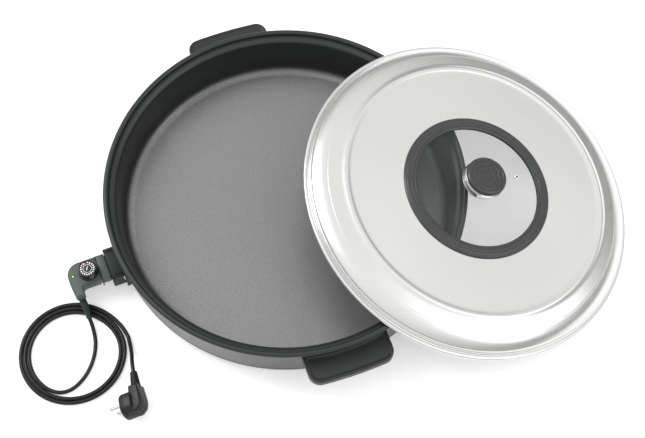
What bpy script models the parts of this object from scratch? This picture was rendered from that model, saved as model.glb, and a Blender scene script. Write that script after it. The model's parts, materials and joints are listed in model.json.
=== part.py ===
"""Electric party griddle: a round cast pan on a steel housing, a plug-in thermostat with its mains lead,
and a domed steel lid with a glass window, leaning on the pan's right side.

Metres, +Z up, floor at z = 0. X runs along the thermostat's axis (the thermostat is at -X) and the two
handles lie near the Y axis. Most pieces are modelled about the pan's axis, which an empty places.
"""

import math

import bmesh
import bpy
from mathutils import Euler, Matrix, Vector

MM = 0.001
GAP = 0.3 * MM
FINE_STEPS = 48
SMALL_STEPS = 16

# Pan, about its own axis, which stands at PAN_X, PAN_Y
PAN_X = -75.15 * MM
PAN_Y = 29.2 * MM
RIM_RADIUS = 258 * MM
RIM_HEIGHT = 98 * MM
BEAD_RADIUS = 4 * MM
FLOOR_TOP = 24.4 * MM
FLOOR_UNDER = 20.4 * MM
HOUSING_RADIUS = 250 * MM
HOUSING_TOP = 89.3 * MM
HOUSING_UNDER = 9.5 * MM
SHEET = 1.2 * MM
WALL_CLEAR = HOUSING_RADIUS + 0.6 * MM
FOOT_RADIUS = 12 * MM
FOOT_CIRCLE = 192 * MM

# Heating element, and the socket that it ends in
ELEMENT_LOOP = 165 * MM
ELEMENT_RADIUS = 3.5 * MM
AXIS_Z = 16.4 * MM
TERMINAL_Y = 11 * MM
TERMINAL_RADIUS = 2.2 * MM
PROBE_RADIUS = 2.4 * MM
PROBE_TIP_X = -197 * MM
SOCKET_FACE_X = -272.5 * MM
SOCKET_BACK_X = -257 * MM
SOCKET_HALF_WIDTH = 24.4 * MM
SOCKET_TOP = 38.5 * MM
SOCKET_UNDER = 9.3 * MM
FLANGE_HALF_WIDTH = 31 * MM
FLANGE_FACE_X = -254.6 * MM
SOCKET_SCREW_Y = 27.7 * MM
SOCKET_SCREW_Z = 37 * MM

# Handles
HANDLE_TURN = math.radians(-2.0)
HANDLE_REACH = 288 * MM
HANDLE_HALF_WIDTH = 61 * MM
HANDLE_CORNER = 17 * MM
HANDLE_UNDER = 58 * MM
HANDLE_TOP = 72 * MM
HANDLE_WALL = 4 * MM
HANDLE_PLATE = 67.2 * MM
BRACKET_TOP = 66.6 * MM
BRACKET_HALF_WIDTH = 26 * MM
HANDLE_SCREW_PLACE = (17 * MM, 266 * MM)

# Lid, in its own frame: h is the height over the centre plane of its rolled edge
LID_BEAD_CENTRE = 243.4 * MM
LID_BEAD = 3 * MM
LID_SHEET = 0.8 * MM
WINDOW_HOLE = 104 * MM
LID_TOP = 30.4 * MM
GLASS_RADIUS = 99 * MM
GLASS_UNDER = 28.5 * MM
GLASS_TOP = 32.5 * MM
GASKET_OUTER = 111.5 * MM
GASKET_INNER = 91 * MM
VENT_PLACE = (61.0 * MM, 25.3 * MM)
KNOB_RADIUS = 29.5 * MM
KNOB_TOP = 70 * MM
LID_LEAN_AZIMUTH = math.radians(-22.76)
LID_DISTANCE = 262.2 * MM
LID_HEIGHT = 68.9 * MM
LID_TILT = math.radians(15.58)

# Thermostat
ARM_HALF_WIDTH = 18.4 * MM
CASE_TOP = 38 * MM
CASE_SPLIT = 24 * MM
CASE_UNDER = 10.6 * MM
CASE_WALL = 2 * MM
SEAM_X = -285.5 * MM
LEG_X = (-330.5 * MM, -314.8 * MM)
LEG_END_Y = -33.5 * MM
DIAL_PLACE = (-300.5 * MM, -1.5 * MM)
DIAL_RADIUS = 14 * MM
DIAL_HEIGHT = 14 * MM
LED_PLACE = (-323 * MM, -0.5 * MM)
RELIEF_START = Vector((-321.2, -35.7, 18.9)) * MM
RELIEF_END = Vector((-320.6, -58.0, 12.0)) * MM

# Mains lead, in the same frame as the pan
CORD_RADIUS = 2.9 * MM
COIL_CENTRE = Vector((-358.2, -95.6, 0.0)) * MM
COIL_OUTER = 76 * MM
COIL_INNER = 58 * MM
LEAD_IN = [
    (-320.6, -58.4, 11.9), (-320.5, -65.0, 9.4), (-320.7, -72.0, 6.7), (-321.4, -79.0, 4.7),
    (-322.7, -87.0, 3.4), (-325.0, -95.5, 3.0), (-328.6, -104.5, 3.0), (-333.5, -113.5, 3.0),
    (-339.6, -122.0, 3.0), (-347.3, -130.3, 3.0), (-356.4, -137.6, 3.0), (-366.2, -143.0, 3.0),
    (-375.4, -145.9, 3.0),
]
LEAD_OUT = [
    (-278.8, -99.6, 3.0), (-279.1, -108.5, 4.0), (-279.9, -117.5, 6.8), (-281.1, -126.5, 11.2),
    (-282.7, -135.2, 16.3), (-284.6, -143.6, 20.4),
]
PLUG_PLACE = Vector((-314.0, -203.3, 19.0)) * MM
PLUG_TILT = (math.radians(-5), math.radians(-23), math.radians(-7))
PLUG_FACE_RADIUS = 18.5 * MM
PLUG_FLAT = 17.2 * MM
PLUG_BACK = 31 * MM
PLUG_CABLE_X = 21 * MM
PLUG_RELIEF = (27 * MM, 46 * MM)
PLUG_PIN_SPACING = 19 * MM
PLUG_PIN_LENGTH = 19 * MM
PLUG_PIN_RADIUS = 2.4 * MM


def clear_scene():
    for obj in list(bpy.data.objects):
        bpy.data.objects.remove(obj, do_unlink=True)


def new_collection(name):
    made = bpy.data.collections.new(name)
    bpy.context.scene.collection.children.link(made)
    return made


def material(name, colour, roughness, metallic=0.0, alpha=1.0):
    made = bpy.data.materials.new(name)
    made.use_nodes = True
    shader = made.node_tree.nodes["Principled BSDF"]
    shader.inputs["Base Color"].default_value = (*colour, 1.0)
    shader.inputs["Roughness"].default_value = roughness
    shader.inputs["Metallic"].default_value = metallic
    shader.inputs["Alpha"].default_value = alpha
    return made


clear_scene()
PARTS = new_collection("electric_griddle")
CUTTERS = new_collection("cutters")

CAST = material("cast_nonstick", (0.10, 0.11, 0.10), 0.45)
HOUSING_PAINT = material("housing_paint", (0.11, 0.12, 0.11), 0.4)
STEEL = material("brushed_steel", (0.75, 0.75, 0.73), 0.25, 1.0)
CHROME = material("chrome", (0.85, 0.85, 0.85), 0.08, 1.0)
BAKELITE = material("bakelite", (0.03, 0.035, 0.032), 0.4)
SOCKET_PLASTIC = material("socket_plastic", (0.012, 0.028, 0.023), 0.45)
CASE_PLASTIC = material("case_plastic", (0.095, 0.127, 0.12), 0.5)
SILICONE = material("silicone", (0.05, 0.055, 0.05), 0.35)
GLASS = material("glass", (0.9, 0.95, 0.95), 0.03, 0.0, 0.3)
RUBBER = material("rubber", (0.012, 0.013, 0.012), 0.5)
LENS = material("green_lens", (0.3, 0.8, 0.1), 0.2)
SCALE_SILVER = material("scale_silver", (0.7, 0.7, 0.7), 0.3, 0.6)


# ---- modelling tools ----------------------------------------------------------------------------

def empty(name, place, parent=None, turn=(0.0, 0.0, 0.0)):
    obj = bpy.data.objects.new(name, None)
    obj.location = place
    obj.rotation_euler = turn
    obj.parent = parent
    obj.empty_display_size = 0.03
    PARTS.objects.link(obj)
    return obj


def add(name, mesh, look, parent):
    obj = bpy.data.objects.new(name, mesh)
    obj.parent = parent
    PARTS.objects.link(obj)
    if look:
        mesh.materials.append(look)
    return obj


def as_cutter(obj):
    PARTS.objects.unlink(obj)
    CUTTERS.objects.link(obj)
    obj.hide_render = True
    obj.display_type = "WIRE"
    return obj


def turned(name, profile, look, parent, steps=FINE_STEPS):
    """A profile of (radius, height) turned about Z; it runs up the inside and down the outer side."""
    mesh = bpy.data.meshes.new(name)
    edges = [(i, i + 1) for i in range(len(profile) - 1)]
    if profile[0][0] > 0:
        edges.append((len(profile) - 1, 0))
    mesh.from_pydata([(r, 0.0, z) for r, z in profile], edges, [])
    return spin(add(name, mesh, look, parent), steps)


def spin(obj, steps):
    turn = obj.modifiers.new("turn", "SCREW")
    turn.steps = steps
    turn.render_steps = steps
    turn.use_merge_vertices = True
    turn.merge_threshold = 0.00001
    turn.use_smooth_shade = True
    return obj


def rod(name, start, end, radius, look, parent, end_radius=None, sides=SMALL_STEPS):
    """A straight cylinder or cone from start to end."""
    start, end = Vector(start), Vector(end)
    shape = bmesh.new()
    bmesh.ops.create_cone(
        shape, cap_ends=True, segments=sides, radius1=radius,
        radius2=radius if end_radius is None else end_radius, depth=(end - start).length,
    )
    turn = (end - start).to_track_quat("Z", "Y").to_matrix().to_4x4()
    shape.transform(Matrix.Translation((start + end) / 2) @ turn)
    return finish(shape, name, look, parent)


def box(name, low, high, look, parent, round_edges=0.0):
    low, high = Vector(low), Vector(high)
    shape = bmesh.new()
    bmesh.ops.create_cube(shape, size=1.0)
    shape.transform(Matrix.Translation((low + high) / 2) @ Matrix.Diagonal((*(high - low), 1.0)))
    obj = finish(shape, name, look, parent)
    if round_edges:
        soften(obj, round_edges)
    return obj


def prism(name, outline, low, high, look, parent, round_edges=0.0):
    """A flat outline of (x, y) points raised from low to high."""
    shape = bmesh.new()
    ring = [shape.verts.new((x, y, low)) for x, y in outline]
    face = shape.faces.new(ring)
    raised = bmesh.ops.extrude_face_region(shape, geom=[face])
    moved = [v for v in raised["geom"] if isinstance(v, bmesh.types.BMVert)]
    bmesh.ops.translate(shape, verts=moved, vec=(0, 0, high - low))
    bmesh.ops.recalc_face_normals(shape, faces=shape.faces)
    obj = finish(shape, name, look, parent)
    if round_edges:
        soften(obj, round_edges)
    return obj


def finish(shape, name, look, parent):
    mesh = bpy.data.meshes.new(name)
    shape.to_mesh(mesh)
    shape.free()
    mesh.shade_smooth()
    mesh.set_sharp_from_angle(angle=math.radians(40))
    return add(name, mesh, look, parent)


def soften(obj, width, segments=2):
    bevel = obj.modifiers.new("soft edges", "BEVEL")
    bevel.width = width
    bevel.segments = segments
    bevel.limit_method = "ANGLE"
    bevel.angle_limit = math.radians(50)


def combine(obj, other, operation):
    step = obj.modifiers.new(operation.lower(), "BOOLEAN")
    step.operation = operation
    step.object = as_cutter(other)
    step.solver = "EXACT"
    return obj


def cut(obj, *others):
    for other in others:
        combine(obj, other, "DIFFERENCE")
    return obj


def join(obj, *others):
    for other in others:
        combine(obj, other, "UNION")
    return obj


def tube(name, points, radius, look, parent, sides=2):
    """A round bar along a poly line, with filled ends; sides is the bevel resolution."""
    curve = bpy.data.curves.new(name, "CURVE")
    curve.dimensions = "3D"
    curve.bevel_depth = radius
    curve.bevel_resolution = sides
    curve.use_fill_caps = True
    line = curve.splines.new("POLY")
    line.points.add(len(points) - 1)
    for point, place in zip(line.points, points):
        point.co = (*place, 1.0)
    obj = bpy.data.objects.new(name, curve)
    obj.parent = parent
    PARTS.objects.link(obj)
    curve.materials.append(look)
    return obj


def smooth_path(points, spacing):
    """Points at even steps along a Catmull-Rom curve through the given ones."""
    ends = [2 * points[0] - points[1], *points, 2 * points[-1] - points[-2]]
    fine = []
    for a, b, c, d in zip(ends, ends[1:], ends[2:], ends[3:]):
        for k in range(24):
            t = k / 24
            fine.append(0.5 * (
                2 * b + (c - a) * t + (2 * a - 5 * b + 4 * c - d) * t * t
                + (3 * b - a - 3 * c + d) * t ** 3
            ))
    fine.append(points[-1])
    total = sum((q - p).length for p, q in zip(fine, fine[1:]))
    count = max(2, round(total / spacing))
    kept, run, wanted = [fine[0]], 0.0, total / count
    for p, q in zip(fine, fine[1:]):
        run += (q - p).length
        if run >= wanted * len(kept) - 1e-9 and len(kept) < count:
            kept.append(q)
    kept.append(fine[-1])
    return kept


def arc(centre, radius, start, end, count):
    """Points on a circle about (x, y), from start to end degrees."""
    turns = [math.radians(start + (end - start) * k / (count - 1)) for k in range(count)]
    return [(centre[0] + radius * math.cos(a), centre[1] + radius * math.sin(a)) for a in turns]


# ---- pan ----------------------------------------------------------------------------------------

def pan_casting(parent):
    """Cast aluminium pan: flat floor, steep wall, lid ledge, groove and rolled bead."""
    bead = arc((RIM_RADIUS - BEAD_RADIUS, RIM_HEIGHT - BEAD_RADIUS), BEAD_RADIUS, 160, -95, 6)
    boss, boss_hole = 9 * MM, 3.1 * MM
    boss_end = HOUSING_UNDER + SHEET + GAP
    profile = [
        (0, FLOOR_TOP), (226 * MM, FLOOR_TOP), (231.4 * MM, 25.7 * MM), (234.6 * MM, 29.4 * MM),
        (235.6 * MM, 35 * MM), (240.4 * MM, 85.2 * MM), (241.4 * MM, 87.2 * MM),
        (248.2 * MM, 91.4 * MM), (249.6 * MM, 91.4 * MM), *bead,
        (246.4 * MM, HOUSING_TOP + GAP), (244.6 * MM, 84 * MM), (239.4 * MM, 34 * MM),
        (237 * MM, 25 * MM), (231 * MM, FLOOR_UNDER), (boss, FLOOR_UNDER), (boss, boss_end),
        (boss_hole, boss_end), (boss_hole, 18.4 * MM), (0, 18.4 * MM),
    ]
    turned("pan_casting", profile, CAST, parent)


def outer_housing(parent):
    """Painted steel housing round the pan, open where the socket and the screws go through."""
    outer, inner = HOUSING_RADIUS, HOUSING_RADIUS - SHEET
    under, over = HOUSING_UNDER, HOUSING_UNDER + SHEET
    screw_hole = 3.2 * MM
    profile = [
        (screw_hole, over), (240 * MM, over), (244.4 * MM, 11.4 * MM), (247.4 * MM, 14.4 * MM),
        (inner, 19 * MM), (inner, HOUSING_TOP), (outer, HOUSING_TOP), (outer, 19 * MM),
        (248.4 * MM, 13.7 * MM), (245 * MM, 10.4 * MM), (240.4 * MM, under), (screw_hole, under),
    ]
    housing = turned("outer_housing", profile, HOUSING_PAINT, parent)
    window = box(
        "housing_window", (-256 * MM, -21.5 * MM, 11.6 * MM), (-240 * MM, 21.5 * MM, 31.5 * MM),
        None, parent,
    )
    cut(housing, window)
    return housing


def housing_screw(parent):
    head_top = HOUSING_UNDER - GAP
    profile = [
        (0, 17.9 * MM), (2.6 * MM, 17.9 * MM), (2.6 * MM, head_top), (7 * MM, head_top),
        (7 * MM, 7.4 * MM), (5.4 * MM, 6.4 * MM), (0, 6.4 * MM),
    ]
    turned("housing_screw", profile, STEEL, parent, SMALL_STEPS)


def feet(parent):
    top = HOUSING_UNDER - GAP
    profile = [(0, top), (FOOT_RADIUS, top), (FOOT_RADIUS - 1.5 * MM, 1.2 * MM), (9.4 * MM, 0), (0, 0)]
    for number, degrees in enumerate((45, 135, 225, 315), 1):
        angle = math.radians(degrees)
        foot = turned(f"foot_{number}", profile, RUBBER, parent, SMALL_STEPS)
        foot.location = (FOOT_CIRCLE * math.cos(angle), FOOT_CIRCLE * math.sin(angle), 0)


def heating_element(parent):
    """One tubular loop under the floor, whose ends run out side by side to the socket."""
    lead = [
        Vector((-238 * MM, TERMINAL_Y, 0)), Vector((-215 * MM, TERMINAL_Y, 0)),
        Vector((-192 * MM, 12.5 * MM, 0)), Vector((-174 * MM, 21 * MM, 0)),
    ]
    loop = [Vector((x, y, 0)) for x, y in arc((0, 0), ELEMENT_LOOP, 164, -164, 40)]
    back = [Vector((p.x, -p.y, 0)) for p in reversed(lead)]
    rise = Vector((0, 0, AXIS_Z))
    path = [p + rise for p in smooth_path(lead + loop + back, 21 * MM)]
    tube("heating_element", path, ELEMENT_RADIUS, STEEL, parent)
    for number, degrees in enumerate((-120, 0, 120), 1):
        clip = box(
            f"element_clip_{number}", (ELEMENT_LOOP - 6.6 * MM, -6 * MM, 11.2 * MM),
            (ELEMENT_LOOP + 6.2 * MM, 6 * MM, FLOOR_UNDER - GAP), STEEL, parent,
        )
        groove = box(
            f"clip_groove_{number}", (ELEMENT_LOOP - 5.2 * MM, -8 * MM, 12.4 * MM),
            (ELEMENT_LOOP + 4.8 * MM, 8 * MM, 24 * MM), None, parent,
        )
        cut(clip, groove)
        clip.rotation_euler.z = math.radians(degrees)
        groove.rotation_euler.z = math.radians(degrees)


def inlet_socket(parent, housing):
    """Socket on the housing wall: a mouth for the thermostat's nose, terminal pins and probe guide."""
    socket = box(
        "inlet_socket", (SOCKET_FACE_X, -SOCKET_HALF_WIDTH, SOCKET_UNDER),
        (-240 * MM, SOCKET_HALF_WIDTH, SOCKET_TOP), SOCKET_PLASTIC, parent, 1.6 * MM,
    )
    flange = box(
        "socket_flange", (FLANGE_FACE_X, -FLANGE_HALF_WIDTH, 12 * MM),
        (-241 * MM, FLANGE_HALF_WIDTH, 44 * MM), None, parent,
    )
    tongue = box(
        "socket_tongue", (-258.5 * MM, -20.5 * MM, 13.5 * MM), (-243 * MM, 20.5 * MM, 30.5 * MM),
        None, parent,
    )
    mouth = box(
        "socket_mouth", (-280 * MM, -16.6 * MM, 11.1 * MM), (SOCKET_BACK_X, 16.6 * MM, 35.4 * MM),
        None, parent,
    )
    join(socket, flange)
    cut(socket, wall_cutter("socket_wall", parent))
    join(socket, tongue)
    cut(socket, mouth)
    bores = [(TERMINAL_Y, TERMINAL_RADIUS + GAP), (-TERMINAL_Y, TERMINAL_RADIUS + GAP), (0, 4.3 * MM)]
    for number, (y, radius) in enumerate(bores, 1):
        bore = rod(
            f"socket_bore_{number}", (-262 * MM, y, AXIS_Z), (-235 * MM, y, AXIS_Z), radius, None, parent,
            sides=16,
        )
        cut(socket, bore)
    for number, side in enumerate((-1, 1), 1):
        place = Vector((FLANGE_FACE_X, side * SOCKET_SCREW_Y, SOCKET_SCREW_Z))
        screw(f"socket_screw_{number}", place, (1, 0, 0), 10.5 * MM, parent, (socket, housing))
        rod(
            f"terminal_pin_{number}", (-268 * MM, side * TERMINAL_Y, AXIS_Z),
            (-238 * MM - GAP, side * TERMINAL_Y, AXIS_Z), TERMINAL_RADIUS, STEEL, parent, sides=16,
        )
    bore_radius = PROBE_RADIUS + 0.5 * MM
    length = 66 * MM
    profile = [(bore_radius, 0), (bore_radius, length), (4 * MM, length), (4 * MM, 0)]
    guide = turned("probe_guide_tube", profile, STEEL, parent, SMALL_STEPS)
    guide.location = (-256 * MM, 0, AXIS_Z)
    guide.rotation_euler.y = math.radians(90)


def wall_cutter(name, parent):
    """The housing's round wall, as a solid that is cut out of what sits against it."""
    return rod(name, (0, 0, -10 * MM), (0, 0, 120 * MM), WALL_CLEAR, None, parent, sides=2 * FINE_STEPS)


def screw(name, place, direction, length, parent, held, head=3.2 * MM, shank=1.6 * MM):
    """A pan-head screw whose head rests on place and whose shank runs along direction through held."""
    profile = [
        (0, 2.0 * MM), (head * 0.6, 1.9 * MM), (head, 1.1 * MM), (head, GAP),
        (shank, GAP), (shank, -length), (0, -length),
    ]
    made = turned(name, profile, STEEL, parent, 10)
    made.location = place
    made.rotation_euler = (-Vector(direction)).to_track_quat("Z", "Y").to_euler()
    along = Vector(direction)
    for number, piece in enumerate(held, 1):
        hole = rod(
            f"{name}_hole_{number}", place - along * 2 * MM, place + along * (length + GAP),
            shank + GAP, None, parent, sides=12,
        )
        cut(piece, hole)


def handle_outline(inset):
    """The handle seen from above, from the housing out to its rounded outer edge."""
    side = HANDLE_HALF_WIDTH - inset
    corner = HANDLE_CORNER - inset
    reach = HANDLE_REACH - inset
    centre = (HANDLE_HALF_WIDTH - HANDLE_CORNER, HANDLE_REACH - HANDLE_CORNER - 1.6 * MM)
    right = arc(centre, corner, 0, 80, 5)
    left = [(-x, y) for x, y in reversed(right)]
    crown = [(22 * MM, reach - 0.5 * MM), (0, reach), (-22 * MM, reach - 0.5 * MM)]
    return [(side, 238 * MM), *right, *crown, *left, (-side, 238 * MM)]


def handle(number, turn, parent, housing):
    """A moulded grip with a raised lip and a hollow underside, on a steel bracket."""
    axis = empty(f"handle_axis_{number}", (0, 0, 0), parent, (0, 0, turn))
    grip = prism(
        f"handle_{number}", handle_outline(0), HANDLE_UNDER, HANDLE_TOP, BAKELITE, axis, 1.5 * MM,
    )
    top = prism(
        f"handle_dish_{number}", handle_outline(5.5 * MM), HANDLE_TOP - 1.4 * MM, 80 * MM, None, axis,
    )
    hollow = prism(
        f"handle_hollow_{number}", handle_outline(HANDLE_WALL), 50 * MM, HANDLE_PLATE, None, axis,
    )
    cut(grip, wall_cutter(f"handle_wall_{number}", axis), top, hollow)
    bracket = box(
        f"handle_bracket_{number}", (-BRACKET_HALF_WIDTH, 244 * MM, 56 * MM),
        (BRACKET_HALF_WIDTH, 274 * MM, BRACKET_TOP), STEEL, axis,
    )
    corner = box(
        f"bracket_corner_{number}", (-40 * MM, 253.4 * MM, 50 * MM),
        (40 * MM, 290 * MM, BRACKET_TOP - 2.2 * MM), None, axis,
    )
    cut(bracket, wall_cutter(f"bracket_wall_{number}", axis), corner)
    x, y = HANDLE_SCREW_PLACE
    for side, place in enumerate((-x, x), 1):
        below = Vector((place, y, BRACKET_TOP - 2.2 * MM))
        name = f"handle_screw_{2 * number - 2 + side}"
        screw(name, below, (0, 0, 1), 5.4 * MM, axis, (bracket, grip))
    outside = Vector((0, 253.4 * MM, 60 * MM))
    screw(f"bracket_screw_{number}", outside, (0, -1, 0), 7.5 * MM, axis, (bracket, housing))


# ---- lid ----------------------------------------------------------------------------------------

def lid_shell(parent):
    """Spun steel sheet: flat top round the window, a raised step, a shoulder and a rolled edge."""
    curl = arc((LID_BEAD_CENTRE, 0), LID_BEAD, 112, -150, 6)
    profile = [
        (WINDOW_HOLE, LID_TOP), (188 * MM, 29.6 * MM), (193 * MM, 30.8 * MM), (198 * MM, 28.4 * MM),
        (219 * MM, 22.4 * MM), (233 * MM, 15.6 * MM), (240.8 * MM, 5.2 * MM), *curl,
    ]
    mesh = bpy.data.meshes.new("lid_shell")
    mesh.from_pydata([(r, 0.0, z) for r, z in profile], [(i, i + 1) for i in range(len(profile) - 1)], [])
    shell = add("lid_shell", mesh, STEEL, parent)
    spin(shell, FINE_STEPS)
    thickness = shell.modifiers.new("sheet", "SOLIDIFY")
    thickness.thickness = LID_SHEET
    thickness.offset = -1.0
    thickness.use_even_offset = True


def window(parent):
    """Glass disc held to the sheet by a silicone ring, with a steam vent through the glass."""
    groove = GLASS_RADIUS + GAP
    sheet_edge = WINDOW_HOLE - GAP
    profile = [
        (GASKET_INNER, GLASS_TOP + GAP), (GASKET_INNER + 0.8 * MM, 34.2 * MM), (97.5 * MM, 34.9 * MM),
        (104.5 * MM, 34.3 * MM), (110.6 * MM, 32.4 * MM), (GASKET_OUTER, LID_TOP + GAP),
        (sheet_edge, LID_TOP + GAP), (sheet_edge, LID_TOP - LID_SHEET - GAP),
        (109 * MM, LID_TOP - LID_SHEET - 2 * GAP), (108 * MM, 27.4 * MM), (93 * MM, 27.1 * MM),
        (92.4 * MM, GLASS_UNDER - GAP), (groove, GLASS_UNDER - GAP), (groove, GLASS_TOP + GAP),
    ]
    turned("window_gasket", profile, SILICONE, parent, FINE_STEPS)
    hole = 3.3 * MM
    disc = [(hole, GLASS_UNDER), (hole, GLASS_TOP), (GLASS_RADIUS, GLASS_TOP), (GLASS_RADIUS, GLASS_UNDER)]
    glass = turned("window_glass", disc, GLASS, parent, FINE_STEPS)
    x, y = VENT_PLACE
    cut(glass, rod("vent_hole", (x, y, 20 * MM), (x, y, 40 * MM), 3 * MM, None, parent))
    flange = GLASS_TOP + GAP
    eyelet_profile = [
        (1.5 * MM, 28 * MM), (1.5 * MM, 33.7 * MM), (3.2 * MM, 33.7 * MM), (4.2 * MM, 33.2 * MM),
        (4.2 * MM, flange), (2.6 * MM, flange), (2.6 * MM, 28 * MM),
    ]
    eyelet = turned("vent_eyelet", eyelet_profile, CHROME, parent, 12)
    eyelet.location = (x, y, 0)


def knob(parent):
    """Knob on the middle of the glass: screw from below, washer, stem, bright collar and cap."""
    head_top = GLASS_UNDER - GAP
    screw_profile = [
        (0, 45 * MM), (2.6 * MM, 45 * MM), (2.6 * MM, head_top), (9 * MM, head_top),
        (8.4 * MM, 27.2 * MM), (0, 27.2 * MM),
    ]
    turned("knob_screw", screw_profile, STEEL, parent, SMALL_STEPS)
    low, high = GLASS_TOP + GAP, GLASS_TOP + 1.3 * MM
    washer_profile = [(3 * MM, low), (3 * MM, high), (18 * MM, high), (18 * MM, low)]
    turned("knob_washer", washer_profile, RUBBER, parent, 24)
    foot = high + GAP
    stem_profile = [
        (0, 50 * MM), (22 * MM, 50 * MM), (22.5 * MM, 48 * MM), (15.5 * MM, 43 * MM), (14.5 * MM, 39 * MM),
        (17 * MM, 34.6 * MM), (17 * MM, foot), (3 * MM, foot), (3 * MM, 46 * MM), (0, 46 * MM),
    ]
    turned("knob_stem", stem_profile, BAKELITE, parent, 24)
    collar_low = 50 * MM + GAP
    collar_top = 61.4 * MM
    collar_profile = [
        (6 * MM, collar_low), (6 * MM, collar_top), (28.4 * MM, collar_top), (30.2 * MM, 56.5 * MM),
        (30.8 * MM, 52 * MM), (29.6 * MM, collar_low),
    ]
    turned("knob_collar", collar_profile, CHROME, parent, 32)
    cap_low = collar_top + GAP
    cap_profile = [
        (0, KNOB_TOP - 0.6 * MM), (18 * MM, KNOB_TOP - 0.4 * MM), (22 * MM, KNOB_TOP),
        (26.6 * MM, KNOB_TOP - 0.6 * MM), (KNOB_RADIUS - 0.4 * MM, KNOB_TOP - 3 * MM),
        (KNOB_RADIUS, 64.5 * MM), (KNOB_RADIUS - 0.8 * MM, cap_low), (0, cap_low),
    ]
    turned("knob_cap", cap_profile, BAKELITE, parent, 32)


# ---- thermostat ---------------------------------------------------------------------------------

def case_outline(inset):
    """The thermostat seen from above: an arm along X and a leg down to the lead."""
    arm = ARM_HALF_WIDTH - inset
    left, right = LEG_X[0] + inset, LEG_X[1] - inset
    seam = SEAM_X - GAP - inset
    outer_corner = arc((-312 * MM, 0), arm, 90, 172, 6)
    inner_corner = arc((-308.4 * MM, -arm - 6 * MM - inset), 6 * MM + inset, 172, 92, 4)
    end = LEG_END_Y + inset
    leg = [(left + 2.4 * MM, end), (right - 0.8 * MM, end)]
    return [(seam, arm), *outer_corner, (left + 0.3 * MM, -18 * MM), *leg, *inner_corner, (seam, -arm)]


def thermostat_case(parent):
    """Two-shell plastic case with its screws, indicator lens, switch block and strain relief."""
    split_low, split_high = CASE_SPLIT - GAP / 2, CASE_SPLIT + GAP / 2
    cover = prism("case_cover", case_outline(0), split_high, CASE_TOP, CASE_PLASTIC, parent, 1.1 * MM)
    cut(cover, prism("cover_hollow", case_outline(CASE_WALL), 20 * MM, CASE_TOP - CASE_WALL, None, parent))
    base = prism("case_base", case_outline(0.4 * MM), CASE_UNDER, split_low, CASE_PLASTIC, parent, 1.1 * MM)
    cut(base, prism("base_hollow", case_outline(CASE_WALL), CASE_UNDER + CASE_WALL, 30 * MM, None, parent))
    screws = [(-324 * MM, 7.2 * MM), (-322 * MM, -24 * MM)]
    for number, (x, y) in enumerate(screws, 1):
        foot = (x, y, CASE_SPLIT + GAP)
        boss = rod(f"cover_boss_{number}", foot, (x, y, 37 * MM), 3.2 * MM, None, parent)
        join(cover, boss)
        place = Vector((x, y, CASE_UNDER))
        screw(f"cover_screw_{number}", place, (0, 0, 1), 20 * MM, parent, (cover, base), 2.8 * MM, 1.3 * MM)
    dial_x, dial_y = DIAL_PLACE
    led_x, led_y = LED_PLACE
    holes = (("shaft_hole", dial_x, dial_y, 3.4 * MM), ("lens_hole", led_x, led_y, 2 * MM))
    for name, x, y, radius in holes:
        cut(cover, rod(name, (x, y, 30 * MM), (x, y, 45 * MM), radius, None, parent))
    lens_top = CASE_TOP + 0.6 * MM
    rod("indicator_lens", (led_x, led_y, 34.5 * MM), (led_x, led_y, lens_top), 1.7 * MM, LENS, parent)
    box(
        "thermostat_switch", (dial_x - 9 * MM, dial_y - 10 * MM, CASE_UNDER + CASE_WALL + GAP),
        (dial_x + 9 * MM, dial_y + 10 * MM, 32.7 * MM), BAKELITE, parent, 0.8 * MM,
    )
    along = (RELIEF_END - RELIEF_START).normalized()
    relief = rod("strain_relief", RELIEF_START, RELIEF_END, 5.2 * MM, RUBBER, parent, 3.7 * MM)
    ring_start, ring_end = RELIEF_END - along * 4 * MM, RELIEF_END - along * 0.2 * MM
    join(relief, rod("relief_ring", ring_start, ring_end, 4.3 * MM, None, parent))
    root = RELIEF_START + along * 0.2 * MM
    join(relief, rod("relief_collar", root, root + along * 2.4 * MM, 5.6 * MM, None, parent))


def nose(parent):
    """The part that plugs in: nose block, two contact sleeves and the temperature probe."""
    face = SOCKET_BACK_X - 0.6 * MM
    shoulder = SOCKET_FACE_X - 0.6 * MM
    block = box(
        "plug_in_nose", (SEAM_X + GAP, -ARM_HALF_WIDTH, CASE_UNDER), (shoulder, ARM_HALF_WIDTH, CASE_TOP),
        CASE_PLASTIC, parent, 1.1 * MM,
    )
    tongue = box(
        "nose_tongue", (-280 * MM, -16 * MM, 11.7 * MM), (face, 16 * MM, 34.8 * MM), None, parent,
    )
    join(block, tongue)
    sleeve_outer, sleeve_inner = 3.4 * MM, TERMINAL_RADIUS + GAP
    bores = ((-TERMINAL_Y, sleeve_outer), (TERMINAL_Y, sleeve_outer), (0, PROBE_RADIUS))
    for number, (y, radius) in enumerate(bores, 1):
        start, end = (-290 * MM, y, AXIS_Z), (-250 * MM, y, AXIS_Z)
        cut(block, rod(f"nose_bore_{number}", start, end, radius + GAP, None, parent))
    for number, side in enumerate((-1, 1), 1):
        length = 24 * MM
        profile = [(sleeve_inner, 0), (sleeve_inner, length), (sleeve_outer, length), (sleeve_outer, 0)]
        sleeve = turned(f"contact_sleeve_{number}", profile, STEEL, parent, SMALL_STEPS)
        sleeve.location = (-283 * MM, side * TERMINAL_Y, AXIS_Z)
        sleeve.rotation_euler.y = math.radians(90)
    back = (-284.6 * MM, 0, AXIS_Z)
    rod("temperature_probe", back, (PROBE_TIP_X, 0, AXIS_Z), PROBE_RADIUS, STEEL, parent)


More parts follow.
